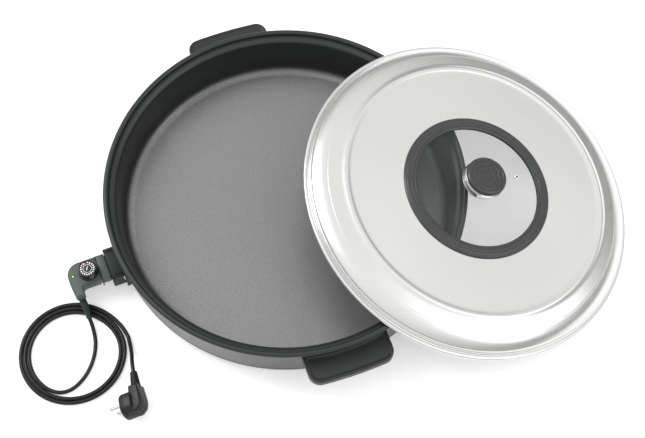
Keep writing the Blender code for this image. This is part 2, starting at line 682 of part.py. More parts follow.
def dial(parent):
    """Temperature dial about its own axis, on a shaft that goes through the cover."""
    skirt = DIAL_RADIUS
    top = DIAL_HEIGHT
    profile = [
        (0, top - 1.4 * MM), (11 * MM, top - 1.4 * MM), (11 * MM, top - 0.3 * MM), (11.6 * MM, top),
        (12.4 * MM, top - 0.4 * MM), (12.9 * MM, top - 2 * MM), (skirt - 0.2 * MM, 3 * MM),
        (skirt, 0.5 * MM), (3.3 * MM, 0.5 * MM), (3.3 * MM, 9 * MM), (0, 9 * MM),
    ]
    turned("dial_knob", profile, BAKELITE, parent, 28)
    scale_low = top - 1.4 * MM + GAP
    scale_top = top - 0.5 * MM
    ring = [(5.6 * MM, scale_low), (5.6 * MM, scale_top), (10.6 * MM, scale_top), (10.6 * MM, scale_low)]
    turned("dial_scale", ring, SCALE_SILVER, parent, 28)
    rod("dial_pointer", (0, 0, scale_low), (0, 0, top - 0.2 * MM), 5.2 * MM, BAKELITE, parent)
    rod("dial_shaft", (0, 0, -5 * MM), (0, 0, 8.7 * MM), 3 * MM, BAKELITE, parent)


# ---- mains lead ---------------------------------------------------------------------------------

def mains_lead(parent):
    """The lead from the strain relief to its coil, the coil's own ring, and the run to the plug."""
    lead_in = [Vector(p) * MM for p in LEAD_IN]
    tube("cord_lead", smooth_path(lead_in, 9 * MM), CORD_RADIUS, RUBBER, parent)
    low, high = 0.1 * MM, 5.9 * MM
    ring = [
        (COIL_INNER, low + 1 * MM), (COIL_INNER, high - 1 * MM), (COIL_INNER + 1 * MM, high),
        (COIL_OUTER - 1 * MM, high), (COIL_OUTER, high - 1 * MM), (COIL_OUTER, low + 1 * MM),
        (COIL_OUTER - 1 * MM, low), (COIL_INNER + 1 * MM, low),
    ]
    coil = turned("cord_coil", ring, RUBBER, parent, 40)
    coil.location = COIL_CENTRE
    lead_out = [Vector(p) * MM for p in LEAD_OUT]
    lead_out.append(plug_point(PLUG_CABLE_X, PLUG_RELIEF[1] + 9 * MM))
    lead_out.append(plug_point(PLUG_CABLE_X, PLUG_RELIEF[1] + GAP))
    tube("cord_tail", smooth_path(lead_out, 9 * MM), CORD_RADIUS, RUBBER, parent)


def plug_point(back, along):
    """A place on the plug's cable axis: back from its face, along towards the lead."""
    turn = Euler(PLUG_TILT).to_matrix()
    return PLUG_PLACE + turn @ Vector((back, along, 0))


def mains_plug(parent):
    """Angled plug lying on its side: pins along -X of its own frame, the lead leaving along +Y."""
    axis = empty("plug_axis", PLUG_PLACE, parent, PLUG_TILT)
    depth = (18 * MM, 0, 0)
    body = rod("plug_body", (0, 0, 0), depth, PLUG_FACE_RADIUS, RUBBER, axis, sides=40)
    side_low, side_high = PLUG_FLAT, 30 * MM
    for number, side in enumerate((-1, 1), 1):
        low, high = sorted((side * side_low, side * side_high))
        flat = box(f"plug_flat_{number}", (-5 * MM, -30 * MM, low), (24 * MM, 30 * MM, high), None, axis)
        cut(body, flat)
    outline = [
        (8 * MM, -14 * MM), (20 * MM, -16.5 * MM), (28 * MM, -11 * MM), (PLUG_BACK, -2 * MM),
        (29.5 * MM, 10 * MM), (27.5 * MM, PLUG_RELIEF[0]), (14.5 * MM, PLUG_RELIEF[0]),
        (12.5 * MM, 14 * MM), (8 * MM, 11 * MM),
    ]
    join(body, prism("plug_back", outline, -12.5 * MM, 12.5 * MM, None, axis, 3 * MM))
    length = PLUG_RELIEF[1] - PLUG_RELIEF[0]
    ribs = 5
    pitch = length / ribs
    taper = [6.4 * MM - 0.45 * MM * k for k in range(ribs)]
    profile = [(0, length)]
    for k in reversed(range(ribs)):
        top = (k + 1) * pitch
        profile += [(taper[k], top), (taper[k], top - 0.6 * pitch)]
        profile.append((taper[k] - 1.1 * MM, top - 0.7 * pitch))
        if k:
            profile.append((taper[k] - 1.1 * MM, top - pitch + 0.1 * MM))
    profile += [(taper[0], 0), (taper[0], -2 * MM), (0, -2 * MM)]
    relief = turned("plug_relief", profile, None, axis, 12)
    relief.location = (PLUG_CABLE_X, PLUG_RELIEF[0], 0)
    relief.rotation_euler.x = math.radians(-90)
    join(body, relief)
    for number, side in enumerate((-1, 1), 1):
        z = side * PLUG_PIN_SPACING / 2
        room = PLUG_PIN_RADIUS + GAP
        hole = rod(f"plug_pin_hole_{number}", (-4 * MM, 0, z), (6 * MM, 0, z), room, None, axis)
        low, high = sorted((side * 15 * MM, side * 22 * MM))
        slot = box(f"clip_slot_{number}", (-4 * MM, low, -4 * MM), (9 * MM, high, 4 * MM), None, axis)
        cut(body, hole, slot)
        rod(f"plug_pin_{number}", (-PLUG_PIN_LENGTH, 0, z), (5.7 * MM, 0, z), PLUG_PIN_RADIUS, STEEL, axis)
        low, high = sorted((side * (15 * MM + GAP), side * 16.2 * MM))
        clip_end = (9 * MM - GAP, high, 3 * MM)
        box(f"plug_earth_clip_{number}", (0.4 * MM, low, -3 * MM), clip_end, STEEL, axis)


# ---- assembly -----------------------------------------------------------------------------------

pan_axis = empty("pan_axis", (PAN_X, PAN_Y, 0))
pan_casting(pan_axis)
griddle_housing = outer_housing(pan_axis)
housing_screw(pan_axis)
feet(pan_axis)
heating_element(pan_axis)
inlet_socket(pan_axis, griddle_housing)
for handle_number in (1, 2):
    handle(handle_number, HANDLE_TURN + math.pi * (handle_number - 1), pan_axis, griddle_housing)

lid_place = (
    LID_DISTANCE * math.cos(LID_LEAN_AZIMUTH), LID_DISTANCE * math.sin(LID_LEAN_AZIMUTH), LID_HEIGHT,
)
lid_axis = empty("lid_axis", lid_place, pan_axis, (0, LID_TILT, LID_LEAN_AZIMUTH))
lid_shell(lid_axis)
window(lid_axis)
knob(lid_axis)

thermostat_axis = empty("thermostat_axis", (0, 0, 0), pan_axis)
thermostat_case(thermostat_axis)
nose(thermostat_axis)
mains_lead(thermostat_axis)
mains_plug(thermostat_axis)
dial_axis = empty("dial_axis", (*DIAL_PLACE, CASE_TOP), thermostat_axis)
dial(dial_axis)
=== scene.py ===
import json
import math

import bmesh
import bpy
from mathutils import Euler, Matrix, Vector


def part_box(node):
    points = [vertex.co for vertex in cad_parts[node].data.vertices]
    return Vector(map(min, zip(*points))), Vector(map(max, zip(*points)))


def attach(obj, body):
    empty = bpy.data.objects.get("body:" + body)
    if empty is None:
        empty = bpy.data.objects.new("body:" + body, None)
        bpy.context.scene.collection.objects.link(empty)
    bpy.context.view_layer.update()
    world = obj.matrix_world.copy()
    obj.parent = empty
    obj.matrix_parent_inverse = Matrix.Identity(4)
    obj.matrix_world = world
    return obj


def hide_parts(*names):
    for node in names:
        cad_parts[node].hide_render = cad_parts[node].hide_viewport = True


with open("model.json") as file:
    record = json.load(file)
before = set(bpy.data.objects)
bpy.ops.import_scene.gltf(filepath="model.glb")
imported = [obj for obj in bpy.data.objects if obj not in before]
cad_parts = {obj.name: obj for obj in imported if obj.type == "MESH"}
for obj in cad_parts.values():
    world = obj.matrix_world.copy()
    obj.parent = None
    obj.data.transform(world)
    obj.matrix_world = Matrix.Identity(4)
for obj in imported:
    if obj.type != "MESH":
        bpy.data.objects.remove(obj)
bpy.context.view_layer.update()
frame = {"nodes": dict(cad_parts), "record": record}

MM = 0.001
TURNED = "turned"              # the UV map of turned pieces
WALL_SHADE_STARTS = (0.224, 0.238)   # metres along the pan's profile over which the floor's colour turns to the painted shade of the wall
FINE = 256                     # steps round a wide turned piece
COARSE = 64                    # steps round a small one


# ---- places, read from the frame ----------------------------------------------------------------

def mount(name):
    return next(m for m in frame["record"]["mounts"] if m["name"] == name)


def joint(name):
    return next(j for j in frame["record"]["behaviour"]["joints"] if j["name"] == name)


SURFACE = Vector(mount("cooking_surface")["pos_m"])
PAN = Vector((SURFACE.x, SURFACE.y, 0.0))
RIM_RADIUS = (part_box("pan_casting")[1][0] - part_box("pan_casting")[0][0]) / 2 + 0.1 * MM
RIM_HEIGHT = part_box("pan_casting")[1][2]
HOUSING_RADIUS = 250 * MM
DIAL = Vector(joint("dial_turn")["pos_m"])
HANDLE_TURN = math.radians(-2.0)

LID_AZIMUTH = math.radians(-22.76)
LID_TILT = math.radians(15.58)
LID_TURN = Euler((0, LID_TILT, LID_AZIMUTH)).to_matrix()
GLASS_MIDDLE_H = 30.5 * MM
LID = (Vector(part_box("window_glass")[0]) + Vector(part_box("window_glass")[1])) / 2
LID = LID - LID_TURN @ Vector((0, 0, GLASS_MIDDLE_H))
LID_PLACE = Matrix.Translation(LID) @ LID_TURN.to_4x4()

PLUG_TURN = Euler((math.radians(-5), math.radians(-23), math.radians(-7))).to_matrix()
PLUG = PAN + Vector((-314.0, -203.3, 19.0)) * MM
PLUG_PLACE = Matrix.Translation(PLUG) @ PLUG_TURN.to_4x4()
PLUG_CABLE_X = 21 * MM
PLUG_RELIEF = (27 * MM, 46 * MM)
PIN_SPACING = 19 * MM
RELIEF_START = PAN + Vector((-321.2, -35.7, 18.9)) * MM
RELIEF_END = PAN + Vector((-320.6, -58.0, 12.0)) * MM


# ---- camera -------------------------------------------------------------------------------------

def camera():
    """Long lens, high and to the left of the front, rolled a little."""
    heading, pitch, roll = math.radians(23.1), math.radians(64.9), math.radians(1.58)
    ahead = Vector((
        math.sin(heading) * math.cos(pitch), math.cos(heading) * math.cos(pitch), -math.sin(pitch),
    ))
    right = Vector((math.cos(heading), -math.sin(heading), 0))
    up = right.cross(ahead)
    across = math.cos(roll) * right + math.sin(roll) * up
    upward = -math.sin(roll) * right + math.cos(roll) * up
    place = PAN + Vector((-274.4, -779.1, 1741.3)) * MM
    turn = Matrix((across, upward, -ahead)).transposed().to_4x4()
    data = bpy.data.cameras.new("camera")
    data.sensor_width = 36
    data.lens = 72.59
    data.clip_end = 20
    obj = bpy.data.objects.new("camera", data)
    obj.matrix_world = Matrix.Translation(place) @ turn
    bpy.context.scene.collection.objects.link(obj)
    bpy.context.scene.camera = obj


# ---- node materials -----------------------------------------------------------------------------

class Nodes:
    """A material's node tree, with short ways to add what these materials share."""

    def __init__(self, name, colour, roughness, metallic=0.0):
        self.material = bpy.data.materials.new(name)
        self.material.use_nodes = True
        self.tree = self.material.node_tree
        self.shader = self.tree.nodes["Principled BSDF"]
        self.shader.inputs["Base Color"].default_value = (*colour, 1)
        self.shader.inputs["Roughness"].default_value = roughness
        self.shader.inputs["Metallic"].default_value = metallic

    def new(self, kind, **values):
        made = self.tree.nodes.new(kind)
        for key, value in values.items():
            setattr(made, key, value)
        return made

    def link(self, source, target):
        self.tree.links.new(source, target)

    def place(self, scale=(1, 1, 1)):
        """Object coordinates in metres, times scale."""
        where = self.new("ShaderNodeTexCoord")
        mapping = self.new("ShaderNodeMapping")
        mapping.inputs["Scale"].default_value = scale
        self.link(where.outputs["Object"], mapping.inputs["Vector"])
        return mapping.outputs["Vector"]

    def noise(self, scale, detail=3.0, vector=None, roughness=0.5):
        made = self.new("ShaderNodeTexNoise")
        made.inputs["Scale"].default_value = scale
        made.inputs["Detail"].default_value = detail
        made.inputs["Roughness"].default_value = roughness
        self.link(vector or self.place(), made.inputs["Vector"])
        return made.outputs["Fac"]

    def add(self, a, b):
        made = self.new("ShaderNodeMath", operation="ADD")
        self.link(a, made.inputs[0])
        self.link(b, made.inputs[1])
        return made.outputs[0]

    def spread(self, value, low, high, from_low=0.3, from_high=0.7):
        """value stretched from its own range to low..high."""
        made = self.new("ShaderNodeMapRange")
        made.inputs["From Min"].default_value = from_low
        made.inputs["From Max"].default_value = from_high
        made.inputs["To Min"].default_value = low
        made.inputs["To Max"].default_value = high
        self.link(value, made.inputs["Value"])
        return made.outputs["Result"]

    def blend(self, share, low, high):
        """A colour between two, by share; low is a colour or another node's output."""
        made = self.new("ShaderNodeMix", data_type="RGBA")
        if isinstance(low, tuple):
            made.inputs["A"].default_value = (*low, 1)
        else:
            self.link(low, made.inputs["A"])
        made.inputs["B"].default_value = (*high, 1)
        self.link(share, made.inputs["Factor"])
        return made.outputs["Result"]

    def colour(self, output):
        self.link(output, self.shader.inputs["Base Color"])

    def roughness(self, output):
        self.link(output, self.shader.inputs["Roughness"])

    def bump(self, height, distance, strength=1.0, after=None):
        made = self.new("ShaderNodeBump")
        made.inputs["Distance"].default_value = distance
        made.inputs["Strength"].default_value = strength
        self.link(height, made.inputs["Height"])
        if after:
            self.link(after, made.inputs["Normal"])
        self.link(made.outputs["Normal"], self.shader.inputs["Normal"])
        return made.outputs["Normal"]


def profile_place(nodes):
    """Distance along a turned piece's profile, in metres, from the V of its UV map."""
    place = nodes.new("ShaderNodeUVMap", uv_map=TURNED)
    parts = nodes.new("ShaderNodeSeparateXYZ")
    nodes.link(place.outputs["UV"], parts.inputs["Vector"])
    return parts.outputs["Y"]


def rings(nodes, scale):
    """Fine uneven circular lines round a turned piece."""
    along = nodes.new("ShaderNodeCombineXYZ")
    nodes.link(profile_place(nodes), along.inputs["X"])
    return nodes.noise(scale, 2.0, along.outputs["Vector"], 0.6)


def moulded(name, colour, roughness, grain=2600, depth=0.00006, shine=0.5):
    """Moulded plastic: fine even grain, faint mottling and worn patches of gloss."""
    nodes = Nodes(name, colour, roughness)
    fine = nodes.noise(grain, 2.0)
    wide = nodes.noise(38, 4.0)
    lighter = tuple(min(1, c * 1.22 + 0.004) for c in colour)
    darker = tuple(c * 0.86 for c in colour)
    nodes.colour(nodes.blend(wide, darker, lighter))
    nodes.roughness(nodes.spread(wide, roughness - 0.05, roughness + 0.09))
    nodes.bump(fine, depth, 0.6)
    nodes.shader.inputs["Specular IOR Level"].default_value = shine
    return nodes.material


def metal(name, colour, roughness, scale=900, depth=0.00002):
    """Plain metal with faint drawn lines and smudges."""
    nodes = Nodes(name, colour, roughness, 1.0)
    drawn = nodes.noise(scale, 2.0, nodes.place((1, 1, 0.06)))
    wide = nodes.noise(30, 3.0)
    nodes.roughness(nodes.spread(wide, roughness * 0.8, roughness * 1.5))
    nodes.colour(nodes.blend(wide, tuple(c * 0.92 for c in colour), colour))
    nodes.bump(drawn, depth, 0.4)
    return nodes.material


def nonstick():
    """Non-stick coat: fine pebbled speckle, a little sheen, faint wipe marks, and painted shade that
    darkens all beyond the floor: wall, ledge and bead.
    """
    nodes = Nodes("nonstick_coat_and_wall_shade", (0.25, 0.255, 0.25), 0.42, 0.8)
    pebble = nodes.noise(1500, 3.0, roughness=0.65)
    speck = nodes.noise(900, 1.0)
    wide = nodes.noise(9, 3.0)
    flecks = nodes.spread(speck, 0.0, 1.0, 0.52, 0.75)
    floor_colour = nodes.blend(flecks, (0.20, 0.205, 0.202), (0.44, 0.445, 0.44))
    # Painted shade: past the floor the colour turns near-black, standing in for the dark reflections on the
    # wall.
    wall_shade = nodes.spread(profile_place(nodes), 0.0, 1.0, *WALL_SHADE_STARTS)
    nodes.colour(nodes.blend(wall_shade, floor_colour, (0.045, 0.05, 0.047)))
    nodes.roughness(nodes.spread(wide, 0.36, 0.5))
    first = nodes.bump(pebble, 0.00025, 0.55)
    nodes.bump(rings(nodes, 320), 0.00005, 0.25, first)
    nodes.shader.inputs["Specular IOR Level"].default_value = 0.55
    return nodes.material


def housing_paint():
    """Satin stoved paint with a light orange-peel."""
    nodes = Nodes("housing_paint", (0.036, 0.039, 0.037), 0.4)
    peel = nodes.noise(420, 2.0)
    wide = nodes.noise(12, 3.0)
    nodes.colour(nodes.blend(wide, (0.032, 0.035, 0.033), (0.044, 0.047, 0.045)))
    nodes.roughness(nodes.spread(wide, 0.3, 0.42))
    nodes.bump(peel, 0.00006, 0.5)
    nodes.shader.inputs["Coat Weight"].default_value = 0.1
    nodes.shader.inputs["Coat Roughness"].default_value = 0.25
    return nodes.material


def lid_steel():
    """Stainless sheet, polished on a lathe: circular lines spread its highlights across them."""
    nodes = Nodes("lid_steel", (0.70, 0.70, 0.69), 0.24, 1.0)
    turned = rings(nodes, 2600)
    wide = nodes.noise(6, 3.0)
    lines = nodes.spread(turned, 0.2, 0.3)
    nodes.roughness(nodes.add(lines, nodes.spread(wide, -0.03, 0.05)))
    tangent = nodes.new("ShaderNodeTangent", direction_type="UV_MAP", uv_map=TURNED)
    nodes.link(tangent.outputs["Tangent"], nodes.shader.inputs["Tangent"])
    nodes.shader.inputs["Anisotropic"].default_value = 0.55
    nodes.bump(turned, 0.000012, 0.35)
    return nodes.material


def bright(name, colour=(0.9, 0.9, 0.9)):
    """Chrome plate, with the least ripple."""
    nodes = Nodes(name, colour, 0.06, 1.0)
    wide = nodes.noise(60, 2.0)
    nodes.roughness(nodes.spread(wide, 0.04, 0.11))
    nodes.bump(nodes.noise(180, 1.0), 0.00002, 0.2)
    return nodes.material


def window_glass():
    """Clear tempered glass, faintly smudged."""
    nodes = Nodes("window_glass", (0.16, 0.18, 0.175), 0.02)
    nodes.shader.inputs["Alpha"].default_value = 0.09
    nodes.shader.inputs["IOR"].default_value = 1.5
    nodes.shader.inputs["Coat Weight"].default_value = 1.0
    smudge = nodes.noise(14, 4.0)
    nodes.roughness(nodes.spread(smudge, 0.01, 0.06, 0.5, 0.75))
    return nodes.material


def rubbery(name, colour, roughness, shine=0.5):
    """Soft plastic or rubber: smooth skin with a faint drag texture."""
    nodes = Nodes(name, colour, roughness)
    wide = nodes.noise(55, 3.0)
    darker = tuple(c * 0.85 for c in colour)
    lighter = tuple(c * 1.3 + 0.002 for c in colour)
    nodes.colour(nodes.blend(wide, darker, lighter))
    nodes.roughness(nodes.spread(wide, roughness - 0.06, roughness + 0.1))
    nodes.bump(nodes.noise(1400, 2.0), 0.00004, 0.4)
    nodes.shader.inputs["Specular IOR Level"].default_value = shine
    return nodes.material


def lamp_lens():
    """Green translucent plastic with a weak glow."""
    nodes = Nodes("lamp_lens", (0.30, 0.75, 0.06), 0.18)
    glow = nodes.noise(900, 1.0)
    nodes.colour(nodes.blend(glow, (0.24, 0.62, 0.04), (0.42, 0.86, 0.12)))
    nodes.shader.inputs["Emission Color"].default_value = (0.35, 0.95, 0.1, 1)
    nodes.shader.inputs["Emission Strength"].default_value = 0.35
    return nodes.material


NONSTICK = nonstick()
PAINT = housing_paint()
LID_STEEL = lid_steel()
STEEL = metal("plain_steel", (0.62, 0.61, 0.59), 0.28)
CHROME = bright("chrome_plate")
GLASS = window_glass()
GRIP = moulded("grip_plastic", (0.018, 0.021, 0.019), 0.38, shine=0.35)
KNOB_BLACK = moulded("knob_plastic", (0.030, 0.032, 0.030), 0.28, 1800, 0.00003)
SOCKET = moulded("socket_plastic", (0.006, 0.015, 0.012), 0.42, shine=0.22)
CASE = moulded("case_plastic", (0.062, 0.086, 0.079), 0.46)
CASE_LOWER = moulded("case_lower_plastic", (0.075, 0.098, 0.092), 0.5)
SILICONE = rubbery("silicone", (0.035, 0.038, 0.036), 0.34)
RUBBER = rubbery("rubber", (0.012, 0.013, 0.012), 0.5, 0.3)
LEAD = rubbery("lead_sheath", (0.008, 0.009, 0.008), 0.30, 0.3)
PLUG_BLACK = moulded("plug_plastic", (0.009, 0.011, 0.010), 0.4, shine=0.3)
LENS = lamp_lens()
DIAL_BLACK = moulded("dial_plastic", (0.012, 0.013, 0.0125), 0.2, 2200, 0.00002)
RELIEF = moulded("relief_plastic", (0.016, 0.028, 0.024), 0.5, shine=0.3)
SCALE = metal("scale_silver", (0.78, 0.78, 0.77), 0.4)
RED = moulded("scale_red", (0.45, 0.03, 0.03), 0.4)


# ---- mesh tools ---------------------------------------------------------------------------------

def to_mesh(shape, name, sharp=35):
    """A mesh from a bmesh, smooth except at edges sharper than the angle in degrees."""
    bmesh.ops.recalc_face_normals(shape, faces=shape.faces)
    mesh = bpy.data.meshes.new(name)
    shape.to_mesh(mesh)
    shape.free()
    mesh.shade_smooth()
    mesh.set_sharp_from_angle(angle=math.radians(sharp))
    return mesh


def piece(name, mesh, look, body, nodes=(), place=None):
    """A visible piece that rides on a body and may stand for CAD nodes; its place goes in its mesh."""
    if place is not None:
        mesh.transform(place)
    obj = bpy.data.objects.new(name, mesh)
    bpy.context.scene.collection.objects.link(obj)
    mesh.materials.clear()
    mesh.materials.append(look)
    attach(obj, body)
    if nodes:
        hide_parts(*nodes)
    return obj


def arc(centre, radius, start, end, count):
    """Points along an arc between two angles in degrees."""
    turns = [math.radians(start + (end - start) * k / (count - 1)) for k in range(count)]
    return [(centre[0] + radius * math.cos(a), centre[1] + radius * math.sin(a)) for a in turns]


def rounded(points, radius, closed=False, pieces=4):
    """The corners of (x, y) points rounded; a third value in a point is that corner's own radius."""
    made = []
    count = len(points)
    for i, point in enumerate(points):
        here = Vector(point[:2])
        if not closed and i in (0, count - 1):
            made.append(tuple(here))
            continue
        before, after = Vector(points[i - 1][:2]), Vector(points[(i + 1) % count][:2])
        reach = point[2] if len(point) > 2 else radius
        start = here + (before - here).normalized() * min(reach, (before - here).length * 0.48)
        end = here + (after - here).normalized() * min(reach, (after - here).length * 0.48)
        for k in range(pieces + 1):
            t = k / pieces
            made.append(tuple((1 - t) ** 2 * start + 2 * t * (1 - t) * here + t * t * end))
    return made


def in_mm(points):
    return [tuple(v * MM for v in p) for p in points]


def lathe(name, profile, steps=FINE, sharp=35):
    """Turned about Z from (radius, height) points: closed on the axis, or else into a ring.

    Its UV map has U round the axis and V along the profile, in metres."""
    shape = bmesh.new()
    turned = shape.loops.layers.uv.new(TURNED)
    levels = []
    for radius, height in profile:
        if radius == 0:
            levels.append([shape.verts.new((0, 0, height))])
            continue
        circle = [2 * math.pi * k / steps for k in range(steps)]
        ring = [(radius * math.cos(a), radius * math.sin(a), height) for a in circle]
        levels.append([shape.verts.new(point) for point in ring])
    pairs = list(zip(range(len(levels)), range(1, len(levels))))
    if profile[0][0] > 0:
        pairs.append((len(levels) - 1, 0))
    gone = 0.0
    for a, b in pairs:
        low, high = levels[a], levels[b]
        reach = gone + math.dist(profile[a], profile[b])
        for k in range(steps):
            corners = {}
            around = ((low, k, gone), (low, k + 1, gone), (high, k + 1, reach), (high, k, reach))
            for row, turn, along in around:
                corners.setdefault(row[turn % steps % len(row)], (turn / steps, along))
            if len(corners) > 2:
                face = shape.faces.new(corners)
                for loop in face.loops:
                    loop[turned].uv = corners[loop.vert]
        gone = reach
    return to_mesh(shape, name, sharp)


def loft(name, levels, sharp=35):
    """Closed loops of the same number of points, joined in order, with flat faces at both ends."""
    shape = bmesh.new()
    rows = [[shape.verts.new(p) for p in level] for level in levels]
    for low, high in zip(rows, rows[1:]):
        for k in range(len(low)):
            shape.faces.new((low[k - 1], low[k], high[k], high[k - 1]))
    shape.faces.new(rows[0])
    shape.faces.new(rows[-1])
    return to_mesh(shape, name, sharp)


def block(shape, low, high, turn=None):
    """A box between two corners, added to shape."""
    low, high = Vector(low), Vector(high)
    place = Matrix.Translation((low + high) / 2) @ Matrix.Diagonal((*(high - low), 1))
    made = bmesh.ops.create_cube(shape, size=1.0, matrix=(turn @ place) if turn else place)
    return made["verts"]


def chamfer(shape, width, segments=2):
    bmesh.ops.bevel(
        shape, geom=shape.edges[:], offset=width, segments=segments, profile=0.6, affect="EDGES",
        clamp_overlap=True,
    )


def refined(node, look, body, width=0.6 * MM):
    """A CAD node's own shape with its edges rounded."""
    shape = bmesh.new()
    shape.from_mesh(frame["nodes"][node].data)
    bmesh.ops.remove_doubles(shape, verts=shape.verts, dist=1e-6)
    bmesh.ops.dissolve_limit(
        shape, angle_limit=math.radians(2), verts=shape.verts, edges=shape.edges,
    )
    obj = piece(f"{node}.skin", to_mesh(shape, node, 30), look, body, (node,))
    bevel = obj.modifiers.new("edges", "BEVEL")
    bevel.width = width
    bevel.segments = 3
    bevel.limit_method = "ANGLE"
    bevel.angle_limit = math.radians(35)
    bevel.harden_normals = True
    return obj


def direction_turn(direction):
    """The turn that points +Z along direction."""
    return Vector(direction).normalized().to_track_quat("Z", "Y").to_matrix().to_4x4()


# ---- pan ----------------------------------------------------------------------------------------

def pan():
    """Coated pan: flat floor, rounded foot of the wall, lid ledge, groove and bright-edged bead."""
    place = Matrix.Translation(PAN)
    bead_radius = 4 * MM
    bead = arc((RIM_RADIUS - bead_radius, RIM_HEIGHT - bead_radius), bead_radius, 165, -100, 22)
    floor, under = SURFACE.z, SURFACE.z - 4 * MM
    wall = in_mm([
        (236.2, 38, 4), (240.4, 84.6, 1.6), (242.0, 87.6, 1.6), (247.6, 91.0, 1.0), (248.6, 90.4, 0.5),
        (249.8, 91.4, 0.6),
    ])
    back = in_mm([(246.4, 89.7, 0.6), (244.6, 84, 2), (239.4, 34, 4), (237, 25, 4), (231, 20.4, 3)])
    profile = rounded([(0, floor), (230.5 * MM, floor, 10 * MM), *wall], 1 * MM)[:-1]
    profile += [wall[-1][:2], *bead, *rounded([bead[-1], *back, (0, under)], 1 * MM)[1:]]
    mesh = lathe("pan_body", profile, sharp=60)
    piece("pan_body", mesh, NONSTICK, "pan", ("pan_casting",), place)
    low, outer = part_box("outer_housing")[0][2], HOUSING_RADIUS
    sheet = 1.2 * MM
    outside = [
        (outer - sheet, 89.2 * MM), (outer + 0.2 * MM, 89.3 * MM, 0.5 * MM), (outer + 0.5 * MM, 87.9 * MM),
        (outer, 86.6 * MM), (outer, 24 * MM), (outer - 0.5 * MM, 23.2 * MM), (outer, 22.4 * MM),
        (outer, 17.5 * MM, 6 * MM), (243.5 * MM, low, 7 * MM), (206 * MM, low), (205 * MM, low + 0.8 * MM),
        (178 * MM, low + 0.8 * MM), (177 * MM, low), (62 * MM, low), (61 * MM, low + 0.8 * MM),
        (52 * MM, low + 0.8 * MM), (51 * MM, low), (3.2 * MM, low),
    ]
    inside = [
        (3.2 * MM, low + 2 * sheet), (242.6 * MM, low + 2 * sheet, 6 * MM),
        (outer - sheet, 19 * MM, 5 * MM), (outer - sheet, 88 * MM),
    ]
    profile = rounded(outside + inside, 0.6 * MM, closed=True)
    mesh = lathe("housing_shell", profile, sharp=60)
    piece("housing_shell", mesh, PAINT, "pan", ("outer_housing",), place)


def feet():
    """Ribbed rubber feet, each with the recess of its fixing."""
    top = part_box("foot_1")[1][2]
    profile = rounded(in_mm([
        (0, 2.6), (3.2, 2.6), (3.4, 0.0), (6.0, 0.0, 0.2), (6.3, 0.6), (7.2, 0.6), (7.5, 0.0),
        (9.4, 0.0, 0.5), (10.6, 1.4, 0.6), (11.2, 4.6), (10.7, 5.0), (10.7, 5.8), (11.3, 6.2), (11.8, 8.0),
    ]) + [(11.8 * MM, top), (0, top)], 0.25 * MM)
    for number in range(1, 5):
        low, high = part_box(f"foot_{number}")
        middle = Vector(((low[0] + high[0]) / 2, (low[1] + high[1]) / 2, 0))
        mesh = lathe(f"foot_pad_{number}", profile, COARSE)
        piece(
            f"foot_pad_{number}", mesh, RUBBER, "pan", (f"foot_{number}",),
            Matrix.Translation(middle),
        )


def handle_loop(inset, height, wall_inset):
    """The handle's outline from above: straight sides, round corners, a slightly crowned front."""
    half, reach, corner = 61 * MM, 288 * MM, 17 * MM
    centre = (half - corner, reach - corner - 1.6 * MM)
    right = arc(centre, corner - inset, 0, 80, 12)
    edge = right[-1]
    front = reach - inset
    shares = [1 - k / 6 for k in range(1, 12)]
    crown = [(edge[0] * share, front - (front - edge[1]) * share ** 2) for share in shares]
    left = [(-x, y) for x, y in reversed(right)]
    wall = HOUSING_RADIUS + 0.5 * MM + wall_inset
    spread = math.degrees(math.asin((half - inset) / wall))
    inner = arc((0, 0), wall, 90 + spread, 90 - spread, 25)
    return [(x, y, height) for x, y in (*right, *crown, *left, *inner)]


def handles():
    """Moulded grips: a rolled lip round a shallow dish, and a hollow underside with ribs."""
    lip = [
        (4.0, 66.9, 0.6), (4.0, 59.4, 0.6), (3.6, 58.5, 0.5), (2.6, 58.05, 0.4), (1.2, 58.1, 0.2),
        (0.35, 58.7, 0.1), (0, 59.8, 0), (0, 69.2, 0), (0.25, 70.6, 0.1), (0.9, 71.5, 0.4),
        (1.9, 71.95, 0.9), (2.9, 71.9, 1.4), (3.8, 71.5, 2.0), (4.5, 70.9, 2.6), (5.2, 70.45, 3.2),
        (6.4, 70.2, 4.2), (9, 70.1, 7),
    ]
    for number, turn in ((1, HANDLE_TURN), (2, HANDLE_TURN + math.pi)):
        place = Matrix.Translation(PAN) @ Matrix.Rotation(turn, 4, "Z")
        levels = [handle_loop(inset * MM, z * MM, wall * MM) for inset, z, wall in lip]
        mesh = loft(f"grip_{number}", levels, 50)
        piece(f"grip_{number}", mesh, GRIP, "pan", (f"handle_{number}",), place)
        shape = bmesh.new()
        for x in (-44, -31, 31, 44):
            block(shape, (x * MM - 1 * MM, 256 * MM, 60 * MM), (x * MM + 1 * MM, 281 * MM, 67.2 * MM))
        chamfer(shape, 0.3 * MM)
        ribs = to_mesh(shape, f"grip_ribs_{number}")
        piece(f"grip_ribs_{number}", ribs, GRIP, "pan", (), place)
        refined(f"handle_bracket_{number}", STEEL, "pan", 0.4 * MM)


